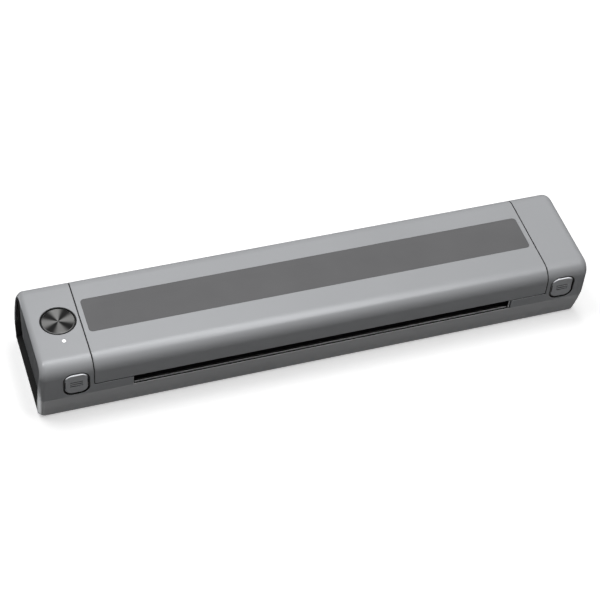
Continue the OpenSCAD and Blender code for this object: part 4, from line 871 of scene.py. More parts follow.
def build_housing(context):
    """The upper housing: two end blocks with the holes for buttons and light, their strips below the cover,
    and black rings of painted shade in the holes of the release buttons."""
    c = context.scene.printer_casing
    wall, edge, top_r = c.wall / MM, c.edge_radius / MM, c.top_radius / MM
    outline = upper_outline()
    body = Casing(outline, wall, True)
    front, back = outline.near(z=FRONT_STRIP_Z), outline.near(z=BACK_STRIP_Z, back=True)
    length = outline.length
    gap, power_hole_r, light_hole_r = 0.7, 9.9, 1.07

    def edges(points):
        """Sharp along the crease, round elsewhere."""
        crease = np.minimum(points[:, 1], length - points[:, 1]) < 0.35
        return np.where(crease, 0.05, edge)

    mould, gap_shade_rings = Mould(), Mould()
    for side in (-1, 1):
        seam, slot = (CUT_X0, SLOT_X0) if side < 0 else (CUT_X1, SLOT_X1)
        rim_u = side * body.rim_u
        corners = [(rim_u, 0), (rim_u, length), (slot, length), (slot, back), (seam, back), (seam, front),
                   (slot, front), (slot, 0)]
        radii = [0.4, 0.4, 0.4, 0.4, 0.5, 0.5, 0.4, 0.4]
        if side > 0:
            corners, radii = corners[::-1], radii[::-1]
        loop = rounded_path(corners, radii, 0.7)
        low, high = box_mm("push_button_left" if side < 0 else "push_button_right")
        middle, size = (low + high) / 2, high - low + 2 * gap
        holes = [box_loop(middle[0], outline.near(z=middle[2]), size[0], size[2] + 0.8, 5.0)]
        if side < 0:
            for (x, y, _), r, steps in ((CAP_MIDDLE, power_hole_r, 120), (PIPE_MIDDLE, light_hole_r, 32)):
                holes.append(round_loop(x, outline.near(y=y), r, steps))
        ends = sorted((rim_u, side * body.start))
        lines = (grid_lines(*sorted((rim_u, slot)), 3.0, [(*ends, 0.5)]),
                 grid_lines(0, length, 3.0, arc_stretches(outline, top_r)))
        mould.sheet(body, loop, holes, lines, edges, end_walls(body, wall, c.end_wall / MM), (),
                    end_lips(body, edges))
        block_insides(mould, side, seam, wall)
        # Painted shade: black rings in the button holes darken the gaps round the caps.
        ring, out = holes[0]
        rows = ((0.03, 0.12, 0), (0.43, 0.12, 0.8), (0.45, 0.2, 1.57), (0.45, 1.9, 1.57), (0.43, 2.0, 2.4),
                (0.03, 2.0, 3.14), (0.02, 1.9, 4.71), (0.02, 0.2, 4.71), (0.03, 0.12, 6.28))
        rows = [(np.full(len(ring), o), np.full(len(ring), h), t) for o, h, t in rows]
        gap_shade_rings.rim(body, ring, out, rows, wall)
    gap_shade_rings.piece("button_gap_shade_rings", "base", finish(context, "liner"), "black_plastic")
    mould.piece("upper_housing_paint", "base", finish(context, "paint"), "grey_paint", "upper_housing")


def block_insides(mould, side, seam, wall):
    """Side wall of an end block with its latch window, its end wall, and sills along both long sides."""
    inset = 1.0
    y, z, r = HALF_D - inset, TOP_Z - inset, TOP_R - inset
    plane = Flat((seam + side * 0.03, 0, 0), (0, -side, 0), (0, 0, 1), wall)
    corners = [(-y, CREASE_Z - 3.2), (-y, z), (y, z), (y, CREASE_Z - 3.2)]
    loop = rounded_path(corners, [0.4, r, r, 0.4], 0.9)
    arm_low, _ = box_mm("latch_slider_left" if side < 0 else "latch_slider_right")
    window = box_loop(side * (HALF_D - 5.4 - 2.3), arm_low[2] + 2.3, 5.8, 4.2, 0.4)
    mould.sheet(plane, loop, [window], (np.arange(-30, 30, 5.0), np.arange(14, 38, 5.0)), 0.15)
    x0, x1 = sorted((side * (RECESS_X - 1.5), side * (RECESS_X - 0.03)))
    z0 = CREASE_Z + 0.03
    end = Flat((x1 if side > 0 else x0, 0, 0), (0, side, 0), (0, 0, 1), x1 - x0)
    loop = rounded_path([(-y, z0), (-y, z), (y, z), (y, z0)], [0.2, r, r, 0.2], 0.9)
    mould.sheet(end, loop, [], (np.arange(-30, 30, 6.0), np.arange(18, 38, 6.0)), 0.1)
    half_slot = 108.5
    outer_x = HOUSING_LOW[0] + 20 if side < 0 else HOUSING_HIGH[0] - 15
    sill_x0, sill_x1 = sorted((outer_x, SLOT_X0 + half_slot))
    for s in (-1, 1):
        y0, y1 = sorted((s * 29.1, s * 25.5))
        mould.block((sill_x0, y0, 12.6), (sill_x1, y1, 14.3), 0.2)


def build_band(context):
    """The lower shell: leaning band, bottom, pockets for feet and screws."""
    c = context.scene.printer_casing
    wall, edge = c.wall / MM, c.edge_radius / MM
    outline = lower_outline()
    body = Casing(outline, wall, True)
    rim_u = body.rim_u
    thicker = end_walls(body, wall, c.end_wall / MM)
    length = outline.length
    lip_s, lip_wall = 3.4, 0.42

    def edges(points):
        """Sharp along the crease but for a light bevel beside the paper slot."""
        crease = np.minimum(points[:, 1], length - points[:, 1]) < 0.35
        slot = (points[:, 0] > SLOT_X0) & (points[:, 0] < SLOT_X1)
        return np.where(crease, np.where(slot, 0.2, 0.05), edge)

    def walls(points):
        """Thinner behind the paper slots."""
        near = np.minimum(points[:, 1], length - points[:, 1]) < lip_s
        slot = (points[:, 0] > SLOT_X0 - 1) & (points[:, 0] < SLOT_X1 + 1)
        return np.where(near & slot, lip_wall, thicker(points))

    loop = rounded_path([(-rim_u, 0), (-rim_u, length), (rim_u, length), (rim_u, 0)], 0.3, 0.9)
    flat = outline.p[:, 1] < BAND_Z + 0.01

    def bottom(y):
        """Distance along the outline of a place on the bottom."""
        return float(np.interp(-y, -outline.p[flat, 0], outline.s[flat]))

    pockets = []
    foot_w, foot_d, clear = 14.0, 5.0, 0.2
    foot_x, foot_y = FOOT_HIGH[0] - foot_w / 2, FOOT_HIGH[1] - foot_d / 2
    for x in (-foot_x, foot_x):
        for y in (-foot_y, foot_y):
            pockets.append((*box_loop(x, bottom(y), foot_w + clear, foot_d + clear, 2.0), 0.7))
    for x, y in screw_places():
        pockets.append((*round_loop(x, bottom(y), 2.1, 36), 2.5))
    ends = [(-rim_u, -body.start, 0.5), (body.start, rim_u, 0.5)]
    bend = bottom(HALF_D - c.band_lean / MM - 2.5)
    fine = [(bend - 3.5, bend + 1, 0.4), (length - bend - 1, length - bend + 3.5, 0.4),
            (lip_s - 0.6, lip_s + 0.6, 0.5), (length - lip_s - 0.6, length - lip_s + 0.6, 0.5)]
    lines = (grid_lines(-rim_u, rim_u, 5.0, ends), grid_lines(0, length, 4.0, fine))
    mould = Mould()
    mould.sheet(body, loop, [], lines, edges, walls, pockets, end_lips(body, edges))
    low_y, z1 = HALF_D - c.band_lean / MM - 1.0, CREASE_Z - 0.03
    shape = [(-low_y, BAND_Z + 1), (-HALF_D + 1, z1), (HALF_D - 1, z1), (low_y, BAND_Z + 1)]
    for side in (-1, 1):
        end = Flat((side * (RECESS_X - 0.03), 0, 0), (0, side, 0), (0, 0, 1), 1.47)
        mould.sheet(end, rounded_path(shape, 0.3, 0.9), [],
                    (np.arange(-30, 30, 6.0), np.arange(2, 16, 6.0)), 0.1)
    post = [(0, 1.7), (2.8, 1.7), (2.8, 9.0), (1.0, 9.0), (1.0, 4.0), (0, 4.0)]
    for x, y in screw_places():
        mould.turned_part((x, y, 0), (0, 0, 1), post, 0.1, 32)
    mould.piece("bottom_shell_paint", "base", finish(context, "band"), "lower_grey", "bottom_shell")


def screw_places():
    """Places of the four base screws, from the corners of their node; the one at the front right stands
    further in, at y = -12."""
    low, high = box_mm("base_screws")
    r = 1.8
    x0, y0, x1, y1 = low[0] + r, low[1] + r, high[0] - r, high[1] - r
    return [(x0, y0), (x0, y1), (x1, -12.0), (x1, y1)]


def build_cover(context):
    """The cover: one smooth shell from the front edge to the hinge barrel, with the recess for the inlay."""
    c = context.scene.printer_casing
    wall, edge, top_r = c.wall / MM, c.edge_radius / MM, c.top_radius / MM
    outline = cover_outline()
    x0, x1 = COVER_X0, COVER_X1
    skin = Casing(outline, wall)
    loop = rounded_path([(x0, 0), (x0, outline.length), (x1, outline.length), (x1, 0)], 0.4, 0.9)
    inlay_x, inlay_s = INLAY_MIDDLE[0], outline.near(y=INLAY_MIDDLE[1])
    inlay = box_loop(inlay_x, inlay_s, INLAY_SIZE[0] + 0.1, INLAY_SIZE[1] + 0.1, 2.25, 0.9)

    def edges(points):
        """A hairline round the inlay, moulded edges elsewhere."""
        near = (np.abs(points - (inlay_x, inlay_s)) < INLAY_SIZE[:2] / 2 + 1).all(1)
        return np.where(near, 0.06, edge)

    fine = [*arc_stretches(outline, top_r), (outline.length - 6.5, outline.length, 0.4)]
    lines = (grid_lines(x0, x1, 5.0), grid_lines(0, outline.length, 4.0, fine))
    mould = Mould()
    mould.sheet(skin, loop, [], lines, edges, None, [(*inlay, 0.5)])
    y, z, r = HALF_D - 1.0, TOP_Z - 1.0, top_r - 1.0
    shape = [(-y, COVER_EDGE_Z), (-y, z), (y, z), (y, HINGE_Z + 1), (HINGE_Y - 2.5, HINGE_Z + 1),
             (HINGE_Y - 2.5, COVER_EDGE_Z)]
    radii = [0.3, r, r, 0.3, 0.3, 0.3]
    mirrored = [(-a, b) for a, b in shape[::-1]]
    for side, x in ((-1, x0), (1, x1)):
        end = Flat((x - side * 0.03, 0, 0), (0, side, 0), (0, 0, 1), 1.5)
        corners, rounds = (shape, radii) if side > 0 else (mirrored, radii[::-1])
        mould.sheet(end, rounded_path(corners, rounds, 0.9), [],
                    (np.arange(-30, 30, 6.0), np.arange(24, 38, 6.0)), 0.15)
    pin, bore, r = 1.05, 6.0, BARREL_R - 0.02
    length = x1 - x0
    barrel = [(0, bore), (pin, bore), (pin, 0), (r, 0), (r, length), (pin, length), (pin, length - bore),
              (0, length - bore)]
    mould.turned_part((x0, HINGE_Y, HINGE_Z), (1, 0, 0), barrel, 0.2, 64)
    mould.piece("cover_shell_paint", "cover", finish(context, "paint"), "grey_paint", "cover_shell")


def build_inlay(context):
    """The dark inlay: a thin plate with round corners and a soft edge."""
    x, y, _ = INLAY_MIDDLE
    a, b = INLAY_SIZE[:2] / 2
    thick = INLAY_SIZE[2]
    plane = Flat((0, 0, INLAY_HIGH[2]), (1, 0, 0), (0, 1, 0), thick)
    lines = (np.arange(x - a, x + a, 9.0), np.arange(y - b, y + b, 5.0))
    mould = Mould()
    mould.sheet(plane, plate_loop(x, y, a, b, 2.2, 1.5), [], lines, 0.06, thick - 0.02)
    mould.piece("cover_inlay_plate", "cover", finish(context, "inlay"), "inlay_grey", "cover_inlay")


def build_push_buttons(context):
    """Two release buttons: caps that follow the casing's front, each with three grip bars sunk in."""
    outline = upper_outline()
    wall = 2.2
    for word in ("left", "right"):
        node = "push_button_" + word
        low, high = box_mm(node)
        x, z = (low[0] + high[0]) / 2, (low[2] + high[2]) / 2
        s = outline.near(z=z)
        a, b = (high[0] - low[0]) / 2 - 0.1, (high[2] - low[2]) / 2 + 0.3
        pockets = [(*box_loop(x, s + k * 1.5, 7.0, 0.6, 0.25, 0.4), 0.25) for k in (-1, 0, 1)]

        def edges(points):
            """A soft rim round the cap, fine edges in the grip bars."""
            middle = (np.abs(points[:, 0] - x) < 4) & (np.abs(points[:, 1] - s) < 2.2)
            return np.where(middle, 0.06, 1.0)

        lines = (np.arange(x - a, x + a, 1.2), np.arange(s - b, s + b, 0.8))
        mould = Mould()
        mould.sheet(Sunk(outline, wall, 0.1), plate_loop(x, s, a, b, 4.2, 0.6), [], lines, edges, wall,
                    pockets)
        mould.piece(node + "_cap", word + "_release", finish(context, "cap"), "grey_paint", node)


class Sunk(Casing):
    """A skin that lies a little below the casing's surface."""

    def __init__(self, outline, wall, sink):
        super().__init__(outline, wall)
        self.sink = sink

    def place(self, p, depth, wall=None):
        """As for the casing, from a depth that is greater by the sink."""
        return super().place(p, depth + self.sink, 1e6)


def build_power_button(context):
    """The spun-metal cap: a shallow cone with a turned rim, and the black ring round it."""
    x, y, _ = CAP_MIDDLE
    r, top, low = CAP_R, CAP_HIGH[2], CAP_LOW[2]
    dish = 0.3
    cap = Mould()
    corners = [(0.0, top - dish), (r - 0.9, top - 0.02), (r - 0.35, top - 0.02), (r, top - 0.4), (r, low),
               (0.0, low)]
    p, n = rounded_path(corners, [0, 0.3, 0.25, 0.3, 0.2, 0], step=0.6, closed=False, turn_step=15)
    cap.lathe((x, y, 0), (0, 0, 1), p, n, 144)
    cap.piece("power_cap_metal", "power_key", finish(context, "button"), "button_metal", "power_cap")
    inner, outer = r + 0.3, (RING_HIGH[1] - RING_LOW[1]) / 2 - 1.35
    top, low = RING_HIGH[2], RING_LOW[2]
    corners = [(inner, low), (inner, top), (outer, top), (outer, low)]
    ring = Mould()
    ring.turned_ring((x, y, 0), (0, 0, 1), corners, [0.02, 0.16, 0.12, 0.02], 2, 20, 144)
    ring.piece("power_ring", "base", finish(context, "liner"), "black_plastic", "power_bezel")


def build_status_light(context):
    """The status light's lens: a round rod with a low dome on top and a collar below the housing."""
    x, y, _ = PIPE_MIDDLE
    r, top, low, collar = 1.02, PIPE_HIGH[2], PIPE_LOW[2], (PIPE_HIGH[0] - PIPE_LOW[0]) / 2
    corners = [(0, top), (0.7, top - 0.03), (r, top - 0.2), (r, top - 2.2), (collar, top - 2.2),
               (collar, top - 3.2), (r, top - 3.2), (r, low), (0, low)]
    lens = Mould()
    lens.turned_part((x, y, 0), (0, 0, 1), corners, 0.12, 48)
    lens.piece("status_lens", "base", finish(context, "light"), "light_white", "light_pipe")


def build_seam_shade(context):
    """Black strips of painted shade in the gaps beside the cover and along its front edge, on the two end
    blocks.
    """
    outline = upper_outline()
    front, back = outline.near(z=FRONT_STRIP_Z), outline.near(z=BACK_STRIP_Z + 4, back=True)
    edge = outline.near(z=COVER_EDGE_Z)
    skin = Sunk(outline, 0.8, 0.14)
    clear = 0.03
    mould = Mould()
    # Painted shade: black strips in the seams make the gaps look dark.
    for x0, x1, s0, s1 in ((CUT_X0, COVER_X0, front, back), (COVER_X1, CUT_X1, front, back),
                           (COVER_X0, SLOT_X0, front, edge), (SLOT_X1, COVER_X1, front, edge)):
        corners = [(x0, s0), (x0, s1), (x1, s1), (x1, s0)]
        points, away = rounded_path(corners, 0.05, 0.7, turn_step=45)
        mould.sheet(skin, (points - away * clear, away), (), ((), ()), 0.03)
    mould.piece("seam_shade_strips", "base", finish(context, "liner"), "black_plastic")


def drawn_along_x(mould, shape, x0, x1, radius, turn_step=20):
    """A bar with a clockwise section in y and z, round corners, and a fine edge at both ends."""
    border = rounded_path(shape, radius, 0.6, turn_step=turn_step)
    mould.sheet(Flat((x1, 0, 0), (0, 1, 0), (0, 0, 1), x1 - x0), border, (), ((), ()), 0.05)


def build_slot(context):
    """The guide strip along the paper slot with a small post at its right end, both near-white as a painted
    highlight on grey, and the black bar of painted shade that fills the gap between the strip and the lip of
    the lower shell."""
    (x0, y, low), (x1, back, top) = GUIDE_LOW, GUIDE_HIGH
    # Painted highlight: strip and post take a near-white finish to look lit inside the slot.
    guide = Mould()
    shape = [(y - 0.45, low), (y - 0.45, top + 0.15), (y + 0.1, top + 0.15), (y + 0.15, top - 1.2),
             (back, top - 1.2), (back, low)]
    drawn_along_x(guide, shape, x0, x1, 0.1)
    post_low = (SLOT_X1 - 1.2, y - 1.2, CREASE_Z + 0.1)
    post_high = (SLOT_X1 - 0.45, y - 0.5, COVER_EDGE_Z - 1.1)
    guide.block(post_low, post_high, 0.25)
    guide.piece("exit_guide_strip", "base", finish(context, "guide"), "grey_paint", "exit_guide")
    # Painted shade: a black bar fills the gap between the guide strip and the lip.
    bar = Mould()
    shape = [(y - 0.75, low - 0.6), (y - 1.27, CREASE_Z - 0.06), (y - 0.47, CREASE_Z - 0.06),
             (y - 0.47, low - 0.6)]
    drawn_along_x(bar, shape, SLOT_X0 + 0.2, SLOT_X1 - 0.2, 0.08)
    bar.piece("slot_shade_bar", "base", finish(context, "liner"), "black_plastic")


def build_ends(context):
    """Black liner of each end recess, which comes forward over the lip of the lower shell, and the grey
    plate in the recess, with an opening for the charging socket on the right."""
    c = context.scene.printer_casing
    inset = c.end_wall / MM + 0.05
    low_y = HALF_D - c.band_lean / MM
    socket_low, socket_high = box_mm("usb_socket")
    for side, word in ((-1, "left"), (1, "right")):
        y, z, r = HALF_D - inset, TOP_Z - inset, 5.4
        shape = [(-low_y + inset + 0.1, BAND_Z + inset), (-y, CREASE_Z), (-y, z), (y, z), (y, CREASE_Z),
                 (low_y - inset - 0.1, BAND_Z + inset)]
        liner = Mould()
        border, away = rounded_path(shape, [1.2, 0, r, r, 0, 1.2], 0.9)
        low = 1 - np.clip((border[:, 1] - CREASE_Z + 1.5) / 1.5, 0, 1)
        outer = border + away * (low * 0.4)[:, None]
        front = RIM_X + 0.03 - bow(outer[:, 1], side) - 1.8 * (1 - low)
        deep = np.full(len(outer), RECESS_X + 0.02)
        rows = np.array([np.column_stack([side * x, q]) for q, x in (
            (outer, deep), (outer, front - 0.2), (outer - away * 0.2, front), (border - away * 0.5, front),
            (border - away * 0.7, front - 0.2), (border - away * 0.7, deep))])
        out = np.column_stack([np.zeros(len(away)), away])
        facing = np.array([side, 0, 0.0])
        normals = np.array([out, out, facing + 0 * out, facing + 0 * out, -out, -out])
        liner.grid(rows, normals, closed=True)
        liner.piece("end_liner_" + word, "base", finish(context, "liner"), "black_plastic",
                    "end_trim_" + word)
        y, z = y - 0.75, z - 0.75
        y0, z0 = low_y - inset - 0.9, BAND_Z + inset + 0.75
        plane = Flat((side * PLATE_OUT, 0, 0), (0, side, 0), (0, 0, 1), 0.9)
        plate = Mould()
        loop = rounded_path([(-y0, z0), (-y, CREASE_Z), (-y, z), (y, z), (y, CREASE_Z), (y0, z0)],
                            [0.8, 0, r - 0.7, r - 0.7, 0, 0.8], 0.9)
        holes = []
        if side > 0:
            middle, size = (socket_low + socket_high) / 2, socket_high - socket_low + 0.3
            holes = [box_loop(middle[1], middle[2], size[1], size[2], size[2] / 2 - 0.01, 0.3)]
        plate.sheet(plane, loop, holes, (np.arange(-30, 30, 6.0), np.arange(6, 36, 5.0)), 0.2)
        plate.piece("end_panel_" + word, "base", finish(context, "end"), "end_grey", "end_plate_" + word)


def build_roller(context):
    """The roller: ground rubber with rounded ends, on a plain steel shaft."""
    y, z = (RUBBER_LOW[1] + RUBBER_HIGH[1]) / 2, (RUBBER_LOW[2] + RUBBER_HIGH[2]) / 2
    r, bore = (RUBBER_HIGH[1] - RUBBER_LOW[1]) / 2, (SHAFT_HIGH[1] - SHAFT_LOW[1]) / 2
    rubber = Mould()
    corners = [(bore, RUBBER_LOW[0]), (bore, RUBBER_HIGH[0]), (r, RUBBER_HIGH[0]), (r, RUBBER_LOW[0])]
    rubber.turned_ring((0, y, z), (1, 0, 0), corners, [0.05, 0.05, 0.5, 0.5], 400, 18, 128)
    rubber.piece("platen_rubber_ground", "platen", finish(context, "roller"), "roller_rubber",
                 "platen_rubber")
    shaft = Mould()
    corners = [(0, SHAFT_LOW[0]), (bore, SHAFT_LOW[0]), (bore, SHAFT_HIGH[0]), (0, SHAFT_HIGH[0])]
    shaft.turned_part((0, y, z), (1, 0, 0), corners, 0.4, 64)
    shaft.piece("platen_shaft_turned", "platen", finish(context, "steel"), "steel", "platen_shaft")


def coil(mould, foot, axis, mean_r, wire, turns, length):
    """A round wire wound about an axis. While t runs from 0 to 1 along the wire, it turns by 2 pi turns t and
    rises as t - 0.55 sin(2 pi t) / (2 pi), so the end turns lie close. Its section is a circle between the
    outward direction and the one square to that and to the wire; each end is a half ball."""
    axis = np.array(axis, float)
    side = unit(np.cross(axis, [1.0, 0.2, 0.1]))
    up = np.cross(axis, side)
    t = np.linspace(0, 1, 28 * turns + 1)
    a = 2 * np.pi * turns * t
    out = np.cos(a)[:, None] * side + np.sin(a)[:, None] * up
    rise = wire / 2 + (length - wire) * (t - 0.55 * np.sin(2 * np.pi * t) / (2 * np.pi))
    line = np.array(foot, float) + mean_r * out + rise[:, None] * axis
    along = unit(np.gradient(line, axis=0))
    b = np.linspace(0, 2 * np.pi, 12, endpoint=False)[:, None]
    ring = np.cos(b) * out[:, None] + np.sin(b) * np.cross(along, out)[:, None]
    ball = np.radians([0, 30, 60])[:, None, None]
    tip, tail = (np.sin(ball) * ring[k] + s * np.cos(ball) * along[k] for k, s in ((0, -1), (-1, 1)))
    normals = np.concatenate([tip, ring, tail[::-1]])
    middles = np.concatenate([np.repeat(line[:1], 3, 0), line, np.repeat(line[-1:], 3, 0)])
    mould.grid(middles[:, None] + wire / 2 * normals, normals)


def build_springs(context):
    """The springs behind the release buttons and below the print head, and the head's ribbon. Each is fixed
    at one end."""
    for word in ("left", "right"):
        low, high = box_mm("latch_spring_" + word)
        middle, r, wire, travel = (low + high) / 2, (high[0] - low[0]) / 2, 0.5, 2.05
        spring = Mould()
        coil(spring, (middle[0], low[1], middle[2]), (0, 1, 0), r - wire / 2, wire, 4, high[1] - low[1])
        piece = spring.piece("latch_coil_" + word, "base", finish(context, "spring"), "spring_steel",
                             "latch_spring_" + word)
        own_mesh(piece)
    low, high = box_mm("head_springs")
    wire, y = 0.6, (low[1] + high[1]) / 2
    r = (high[1] - low[1] - wire) / 2
    springs = Mould()
    for share in (0, 0.5, 1):
        x = low[0] + r + wire / 2 + share * (high[0] - low[0] - 2 * r - wire)
        coil(springs, (x, y, low[2]), (0, 0, 1), r, wire, 6, high[2] - low[2])
    piece = springs.piece("head_coils", "base", finish(context, "spring"), "spring_steel", "head_springs")
    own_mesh(piece)
    low, high = box_mm("head_flex")
    foot, y = 1.0, low[1] + 1.0
    shape = [(low[1], low[2]), (low[1], low[2] + foot), (y, low[2] + foot), (y, high[2]), (y + 0.4, high[2]),
             (y + 0.4, low[2] + foot), (high[1], low[2] + foot), (high[1], low[2])]
    ribbon = Mould()
    drawn_along_x(ribbon, shape, low[0], high[0], 0.08, 30)
    piece = ribbon.piece("head_ribbon", "base", finish(context, "ribbon"), "ribbon_amber", "head_flex")
    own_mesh(piece)


FINISHED_NODES = {
    "rubber": ("rubber_feet",),
    "black": ("paper_deck", "cover_inner_frame", "latch_slider_left", "latch_slider_right", "power_plunger"),
    "board": ("main_board", "power_board"),
    "chip": ("board_chips", "power_switch", "paper_sensor", "head_driver_cover"),
    "steel": ("usb_socket", "motor", "motor_shaft", "gear_frame", "idler_axle", "drive_axle",
              "head_pivot_rod", "hinge_pin_left", "hinge_pin_right", "base_screws", "deck_screws",
              "board_screws", "motor_screws", "cover_screws"),
    "battery": ("battery_pack",),
    "light": ("status_led",),
    "gear": ("platen_bush_left", "platen_bush_right", "platen_gear", "idler_gear", "drive_gear",
             "switch_nub"),
    "brass": ("motor_pinion",),
    "sink": ("heat_sink",),
    "ceramic": ("head_ceramic",),
    "red": ("motor_lead",),
    "lead": ("battery_lead",),
}


def dress_nodes(context):
    """Every CAD node that stays gets its finish."""
    for key, names in FINISHED_NODES.items():
        for name in names:
            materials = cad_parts[name].data.materials
            materials.clear()
            materials.append(finish(context, key))


# Stage: floor, lamps and camera

def build_camera():
    """The camera of the photograph: its direction, tilt, distance and focal length as solved from the body's
    edges, for a square picture."""
    azimuth, elevation, roll = (math.radians(v) for v in (-21.657, 47.424, 5.298))
    distance, focal_px, picture_px = 1.19386, 1847.93, 600
    target = Vector((0.038578, 0.103093, -0.100712))
    back = Vector((math.sin(azimuth) * math.cos(elevation), -math.cos(azimuth) * math.cos(elevation),
                   math.sin(elevation)))
    right = Vector((0, 0, 1)).cross(back).normalized()
    up = back.cross(right)
    right, up = (math.cos(roll) * right + math.sin(roll) * up, -math.sin(roll) * right + math.cos(roll) * up)
    data = bpy.data.cameras.new("photo_camera")
    data.sensor_width = 36
    data.lens = focal_px / picture_px * data.sensor_width
    camera = bpy.data.objects.new("photo_camera", data)
    camera.matrix_world = Matrix((
        (right.x, up.x, back.x, 0), (right.y, up.y, back.y, 0), (right.z, up.z, back.z, 0), (0, 0, 0, 1)))
    camera.location = target + back * distance
    bpy.context.scene.collection.objects.link(camera)
    bpy.context.scene.camera = camera


def soft_lamp(name, place, aim, size, strength):
    """A rectangular soft light that points at a place."""
    data = bpy.data.lights.new(name, "AREA")
    data.shape = "RECTANGLE"
    data.size, data.size_y = size
    data.energy = strength
    lamp = bpy.data.objects.new(name, data)
    lamp.location = place
    direction = Vector(aim) - Vector(place)
    lamp.rotation_euler = direction.to_track_quat("-Z", "Y").to_euler()
    bpy.context.scene.collection.objects.link(lamp)
    return lamp


def floor_material():
    """Plain white floor: camera, mirror and clear rays see it white where it is lit and all over further out,
    the light that it throws back on the object stays low."""
    made, tree, shader = material("floor_white")
    shader.inputs["Base Color"].default_value = (0.75, 0.75, 0.75, 1)
    shader.inputs["Roughness"].default_value = 0.9
    shader.inputs["Specular IOR Level"].default_value = 0.0
    shader.inputs["Emission Color"].default_value = (1, 1, 1, 1)
    glow = spread(tree, ramp(tree, length_of(tree, place_in(tree)), 0.4, 1.1), 0.5, 1.0)
    tree.links.new(glow, shader.inputs["Emission Strength"])
    dim = tree.nodes.new("ShaderNodeBsdfDiffuse")
    dim.inputs["Color"].default_value = (0.03, 0.03, 0.03, 1)
    mix = tree.nodes.new("ShaderNodeMixShader")
    tree.links.new(background_rays(tree), mix.inputs["Fac"])
    tree.links.new(dim.outputs["BSDF"], mix.inputs[1])
    tree.links.new(shader.outputs["BSDF"], mix.inputs[2])
    tree.links.new(mix.outputs["Shader"], tree.nodes["Material Output"].inputs["Surface"])
    return made


def background_rays(tree):
    """1 for the rays that show a background: from the camera, from gloss and through clear parts."""
    path = tree.nodes.new("ShaderNodeLightPath")
    seen = math_node(tree, "MAXIMUM", path.outputs["Is Camera Ray"], path.outputs["Is Glossy Ray"])
    return math_node(tree, "MAXIMUM", seen, path.outputs["Is Transmission Ray"])


def build_world():
    """White backdrop for the rays that show it, a low even light for the rest."""
    world = bpy.data.worlds.new("studio")
    bpy.context.scene.world = world
    world.use_nodes = True
    tree = world.node_tree
    light = tree.nodes["Background"]
    light.inputs["Color"].default_value = (1, 1, 1, 1)
    tree.links.new(spread(tree, background_rays(tree), 0.025, 1.0), light.inputs["Strength"])


def build_stage(context):
    """Floor, backdrop, lamps and camera."""
    build_camera()
    build_world()
    mesh = bpy.data.meshes.new("floor")
    size = 6.0
    corners = [(-size, -size, 0), (size, -size, 0), (size, size, 0), (-size, size, 0)]
    mesh.from_pydata(corners, [], [(0, 1, 2, 3)])
    floor = bpy.data.objects.new("floor", mesh)
    mesh.materials.append(floor_material())
    bpy.context.scene.collection.objects.link(floor)
    bpy.context.scene.view_settings.view_transform = "Standard"
    centre = (0, 0, 0.02)
    soft_lamp("long", (0.25, 0.06, 1.3), centre, (1.6, 0.38), 12)
    soft_lamp("key", (-0.45, 0.3, 1.25), centre, (0.6, 0.5), 7.5)


class PRINTER_OT_housing(bpy.types.Operator):
    """Make the end blocks and their strips"""

    bl_idname = "printer.housing"
    bl_label = "Upper Housing"

    def execute(self, context):
        build_housing(context)
        return {"FINISHED"}


class PRINTER_OT_band(bpy.types.Operator):
    """Make the lower shell"""

    bl_idname = "printer.band"
    bl_label = "Lower Shell"

    def execute(self, context):
        build_band(context)
        return {"FINISHED"}


class PRINTER_OT_cover(bpy.types.Operator):
    """Make the hinged cover"""

    bl_idname = "printer.cover"
    bl_label = "Cover"

    def execute(self, context):
        build_cover(context)
        return {"FINISHED"}


class PRINTER_OT_inlay(bpy.types.Operator):
    """Make the dark inlay on the cover"""

    bl_idname = "printer.inlay"
    bl_label = "Inlay"

    def execute(self, context):
        build_inlay(context)
        return {"FINISHED"}


class PRINTER_OT_push_buttons(bpy.types.Operator):
    """Make the two release buttons"""

    bl_idname = "printer.push_buttons"
    bl_label = "Release Buttons"

    def execute(self, context):
        build_push_buttons(context)
        return {"FINISHED"}


class PRINTER_OT_power_button(bpy.types.Operator):
    """Make the power button and its ring"""

    bl_idname = "printer.power_button"
    bl_label = "Power Button"

    def execute(self, context):
        build_power_button(context)
        return {"FINISHED"}


class PRINTER_OT_status_light(bpy.types.Operator):
    """Make the lens of the status light"""

    bl_idname = "printer.status_light"
    bl_label = "Status Light"

    def execute(self, context):
        build_status_light(context)
        return {"FINISHED"}


class PRINTER_OT_seam_shade(bpy.types.Operator):
    """Make the black strips of painted shade round the cover"""

    bl_idname = "printer.gaskets"
    bl_label = "Seam Shade"

    def execute(self, context):
        build_seam_shade(context)
        return {"FINISHED"}


class PRINTER_OT_slot(bpy.types.Operator):
    """Make the guide strip with its painted highlight and the black bar of painted shade in front of it"""

    bl_idname = "printer.slot"
    bl_label = "Paper Slot"

    def execute(self, context):
        build_slot(context)
        return {"FINISHED"}


class PRINTER_OT_ends(bpy.types.Operator):
    """Make the liners and the plates of the end recesses"""

    bl_idname = "printer.ends"
    bl_label = "End Recesses"

    def execute(self, context):
        build_ends(context)
        return {"FINISHED"}


class PRINTER_OT_roller(bpy.types.Operator):
    """Make the roller and its shaft"""

    bl_idname = "printer.roller"
    bl_label = "Roller"

    def execute(self, context):
        build_roller(context)
        return {"FINISHED"}


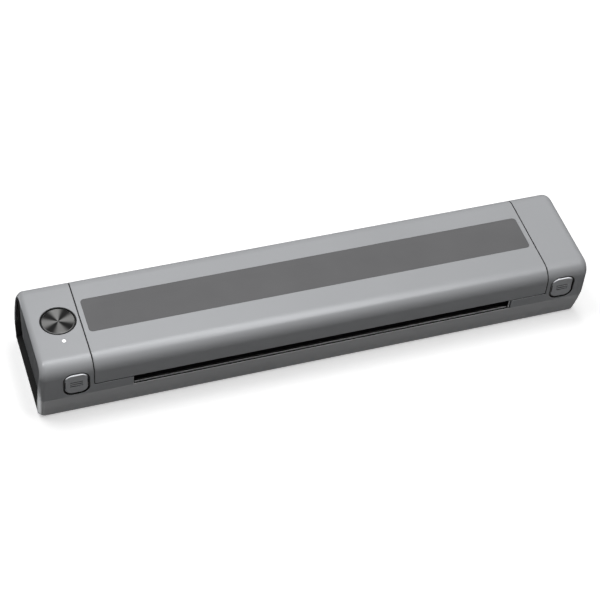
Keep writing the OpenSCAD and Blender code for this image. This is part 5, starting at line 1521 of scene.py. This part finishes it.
class PRINTER_OT_springs(bpy.types.Operator):
    """Make the springs and the head's ribbon"""

    bl_idname = "printer.springs"
    bl_label = "Springs"

    def execute(self, context):
        build_springs(context)
        return {"FINISHED"}


class PRINTER_OT_nodes(bpy.types.Operator):
    """Give every frame part that stays its finish"""

    bl_idname = "printer.nodes"
    bl_label = "Frame Finishes"

    def execute(self, context):
        dress_nodes(context)
        return {"FINISHED"}


class PRINTER_OT_stage(bpy.types.Operator):
    """Make floor, lamps and camera"""

    bl_idname = "printer.stage"
    bl_label = "Stage"

    def execute(self, context):
        build_stage(context)
        return {"FINISHED"}


OPERATORS = (
    PRINTER_OT_housing, PRINTER_OT_band, PRINTER_OT_cover, PRINTER_OT_inlay, PRINTER_OT_push_buttons,
    PRINTER_OT_power_button, PRINTER_OT_status_light, PRINTER_OT_seam_shade, PRINTER_OT_slot, PRINTER_OT_ends,
    PRINTER_OT_roller, PRINTER_OT_springs, PRINTER_OT_nodes, PRINTER_OT_stage,
)


class PRINTER_PT_panel(bpy.types.Panel):
    """Lists the pieces of the printer."""

    bl_label = "Stencil Printer"
    bl_space_type = "VIEW_3D"
    bl_region_type = "UI"
    bl_category = "Stencil Printer"

    def draw(self, context):
        for each in OPERATORS:
            self.layout.operator(each.bl_idname)
        for group in (context.scene.printer_casing, context.scene.printer_colours):
            for name in group.bl_rna.properties.keys():
                if name not in ("rna_type", "name"):
                    self.layout.prop(group, name)


CLASSES = (PrinterCasing, PrinterColours, *OPERATORS, PRINTER_PT_panel)


def register():
    for each in CLASSES:
        bpy.utils.register_class(each)
    bpy.types.Scene.printer_casing = bpy.props.PointerProperty(type=PrinterCasing)
    bpy.types.Scene.printer_colours = bpy.props.PointerProperty(type=PrinterColours)


def unregister():
    del bpy.types.Scene.printer_casing
    del bpy.types.Scene.printer_colours
    for each in reversed(CLASSES):
        bpy.utils.unregister_class(each)


def main():
    """Makes every piece and the stage."""
    register()
    for each in OPERATORS:
        group, name = each.bl_idname.split(".")
        getattr(getattr(bpy.ops, group), name)()


if __name__ == "__main__":
    main()
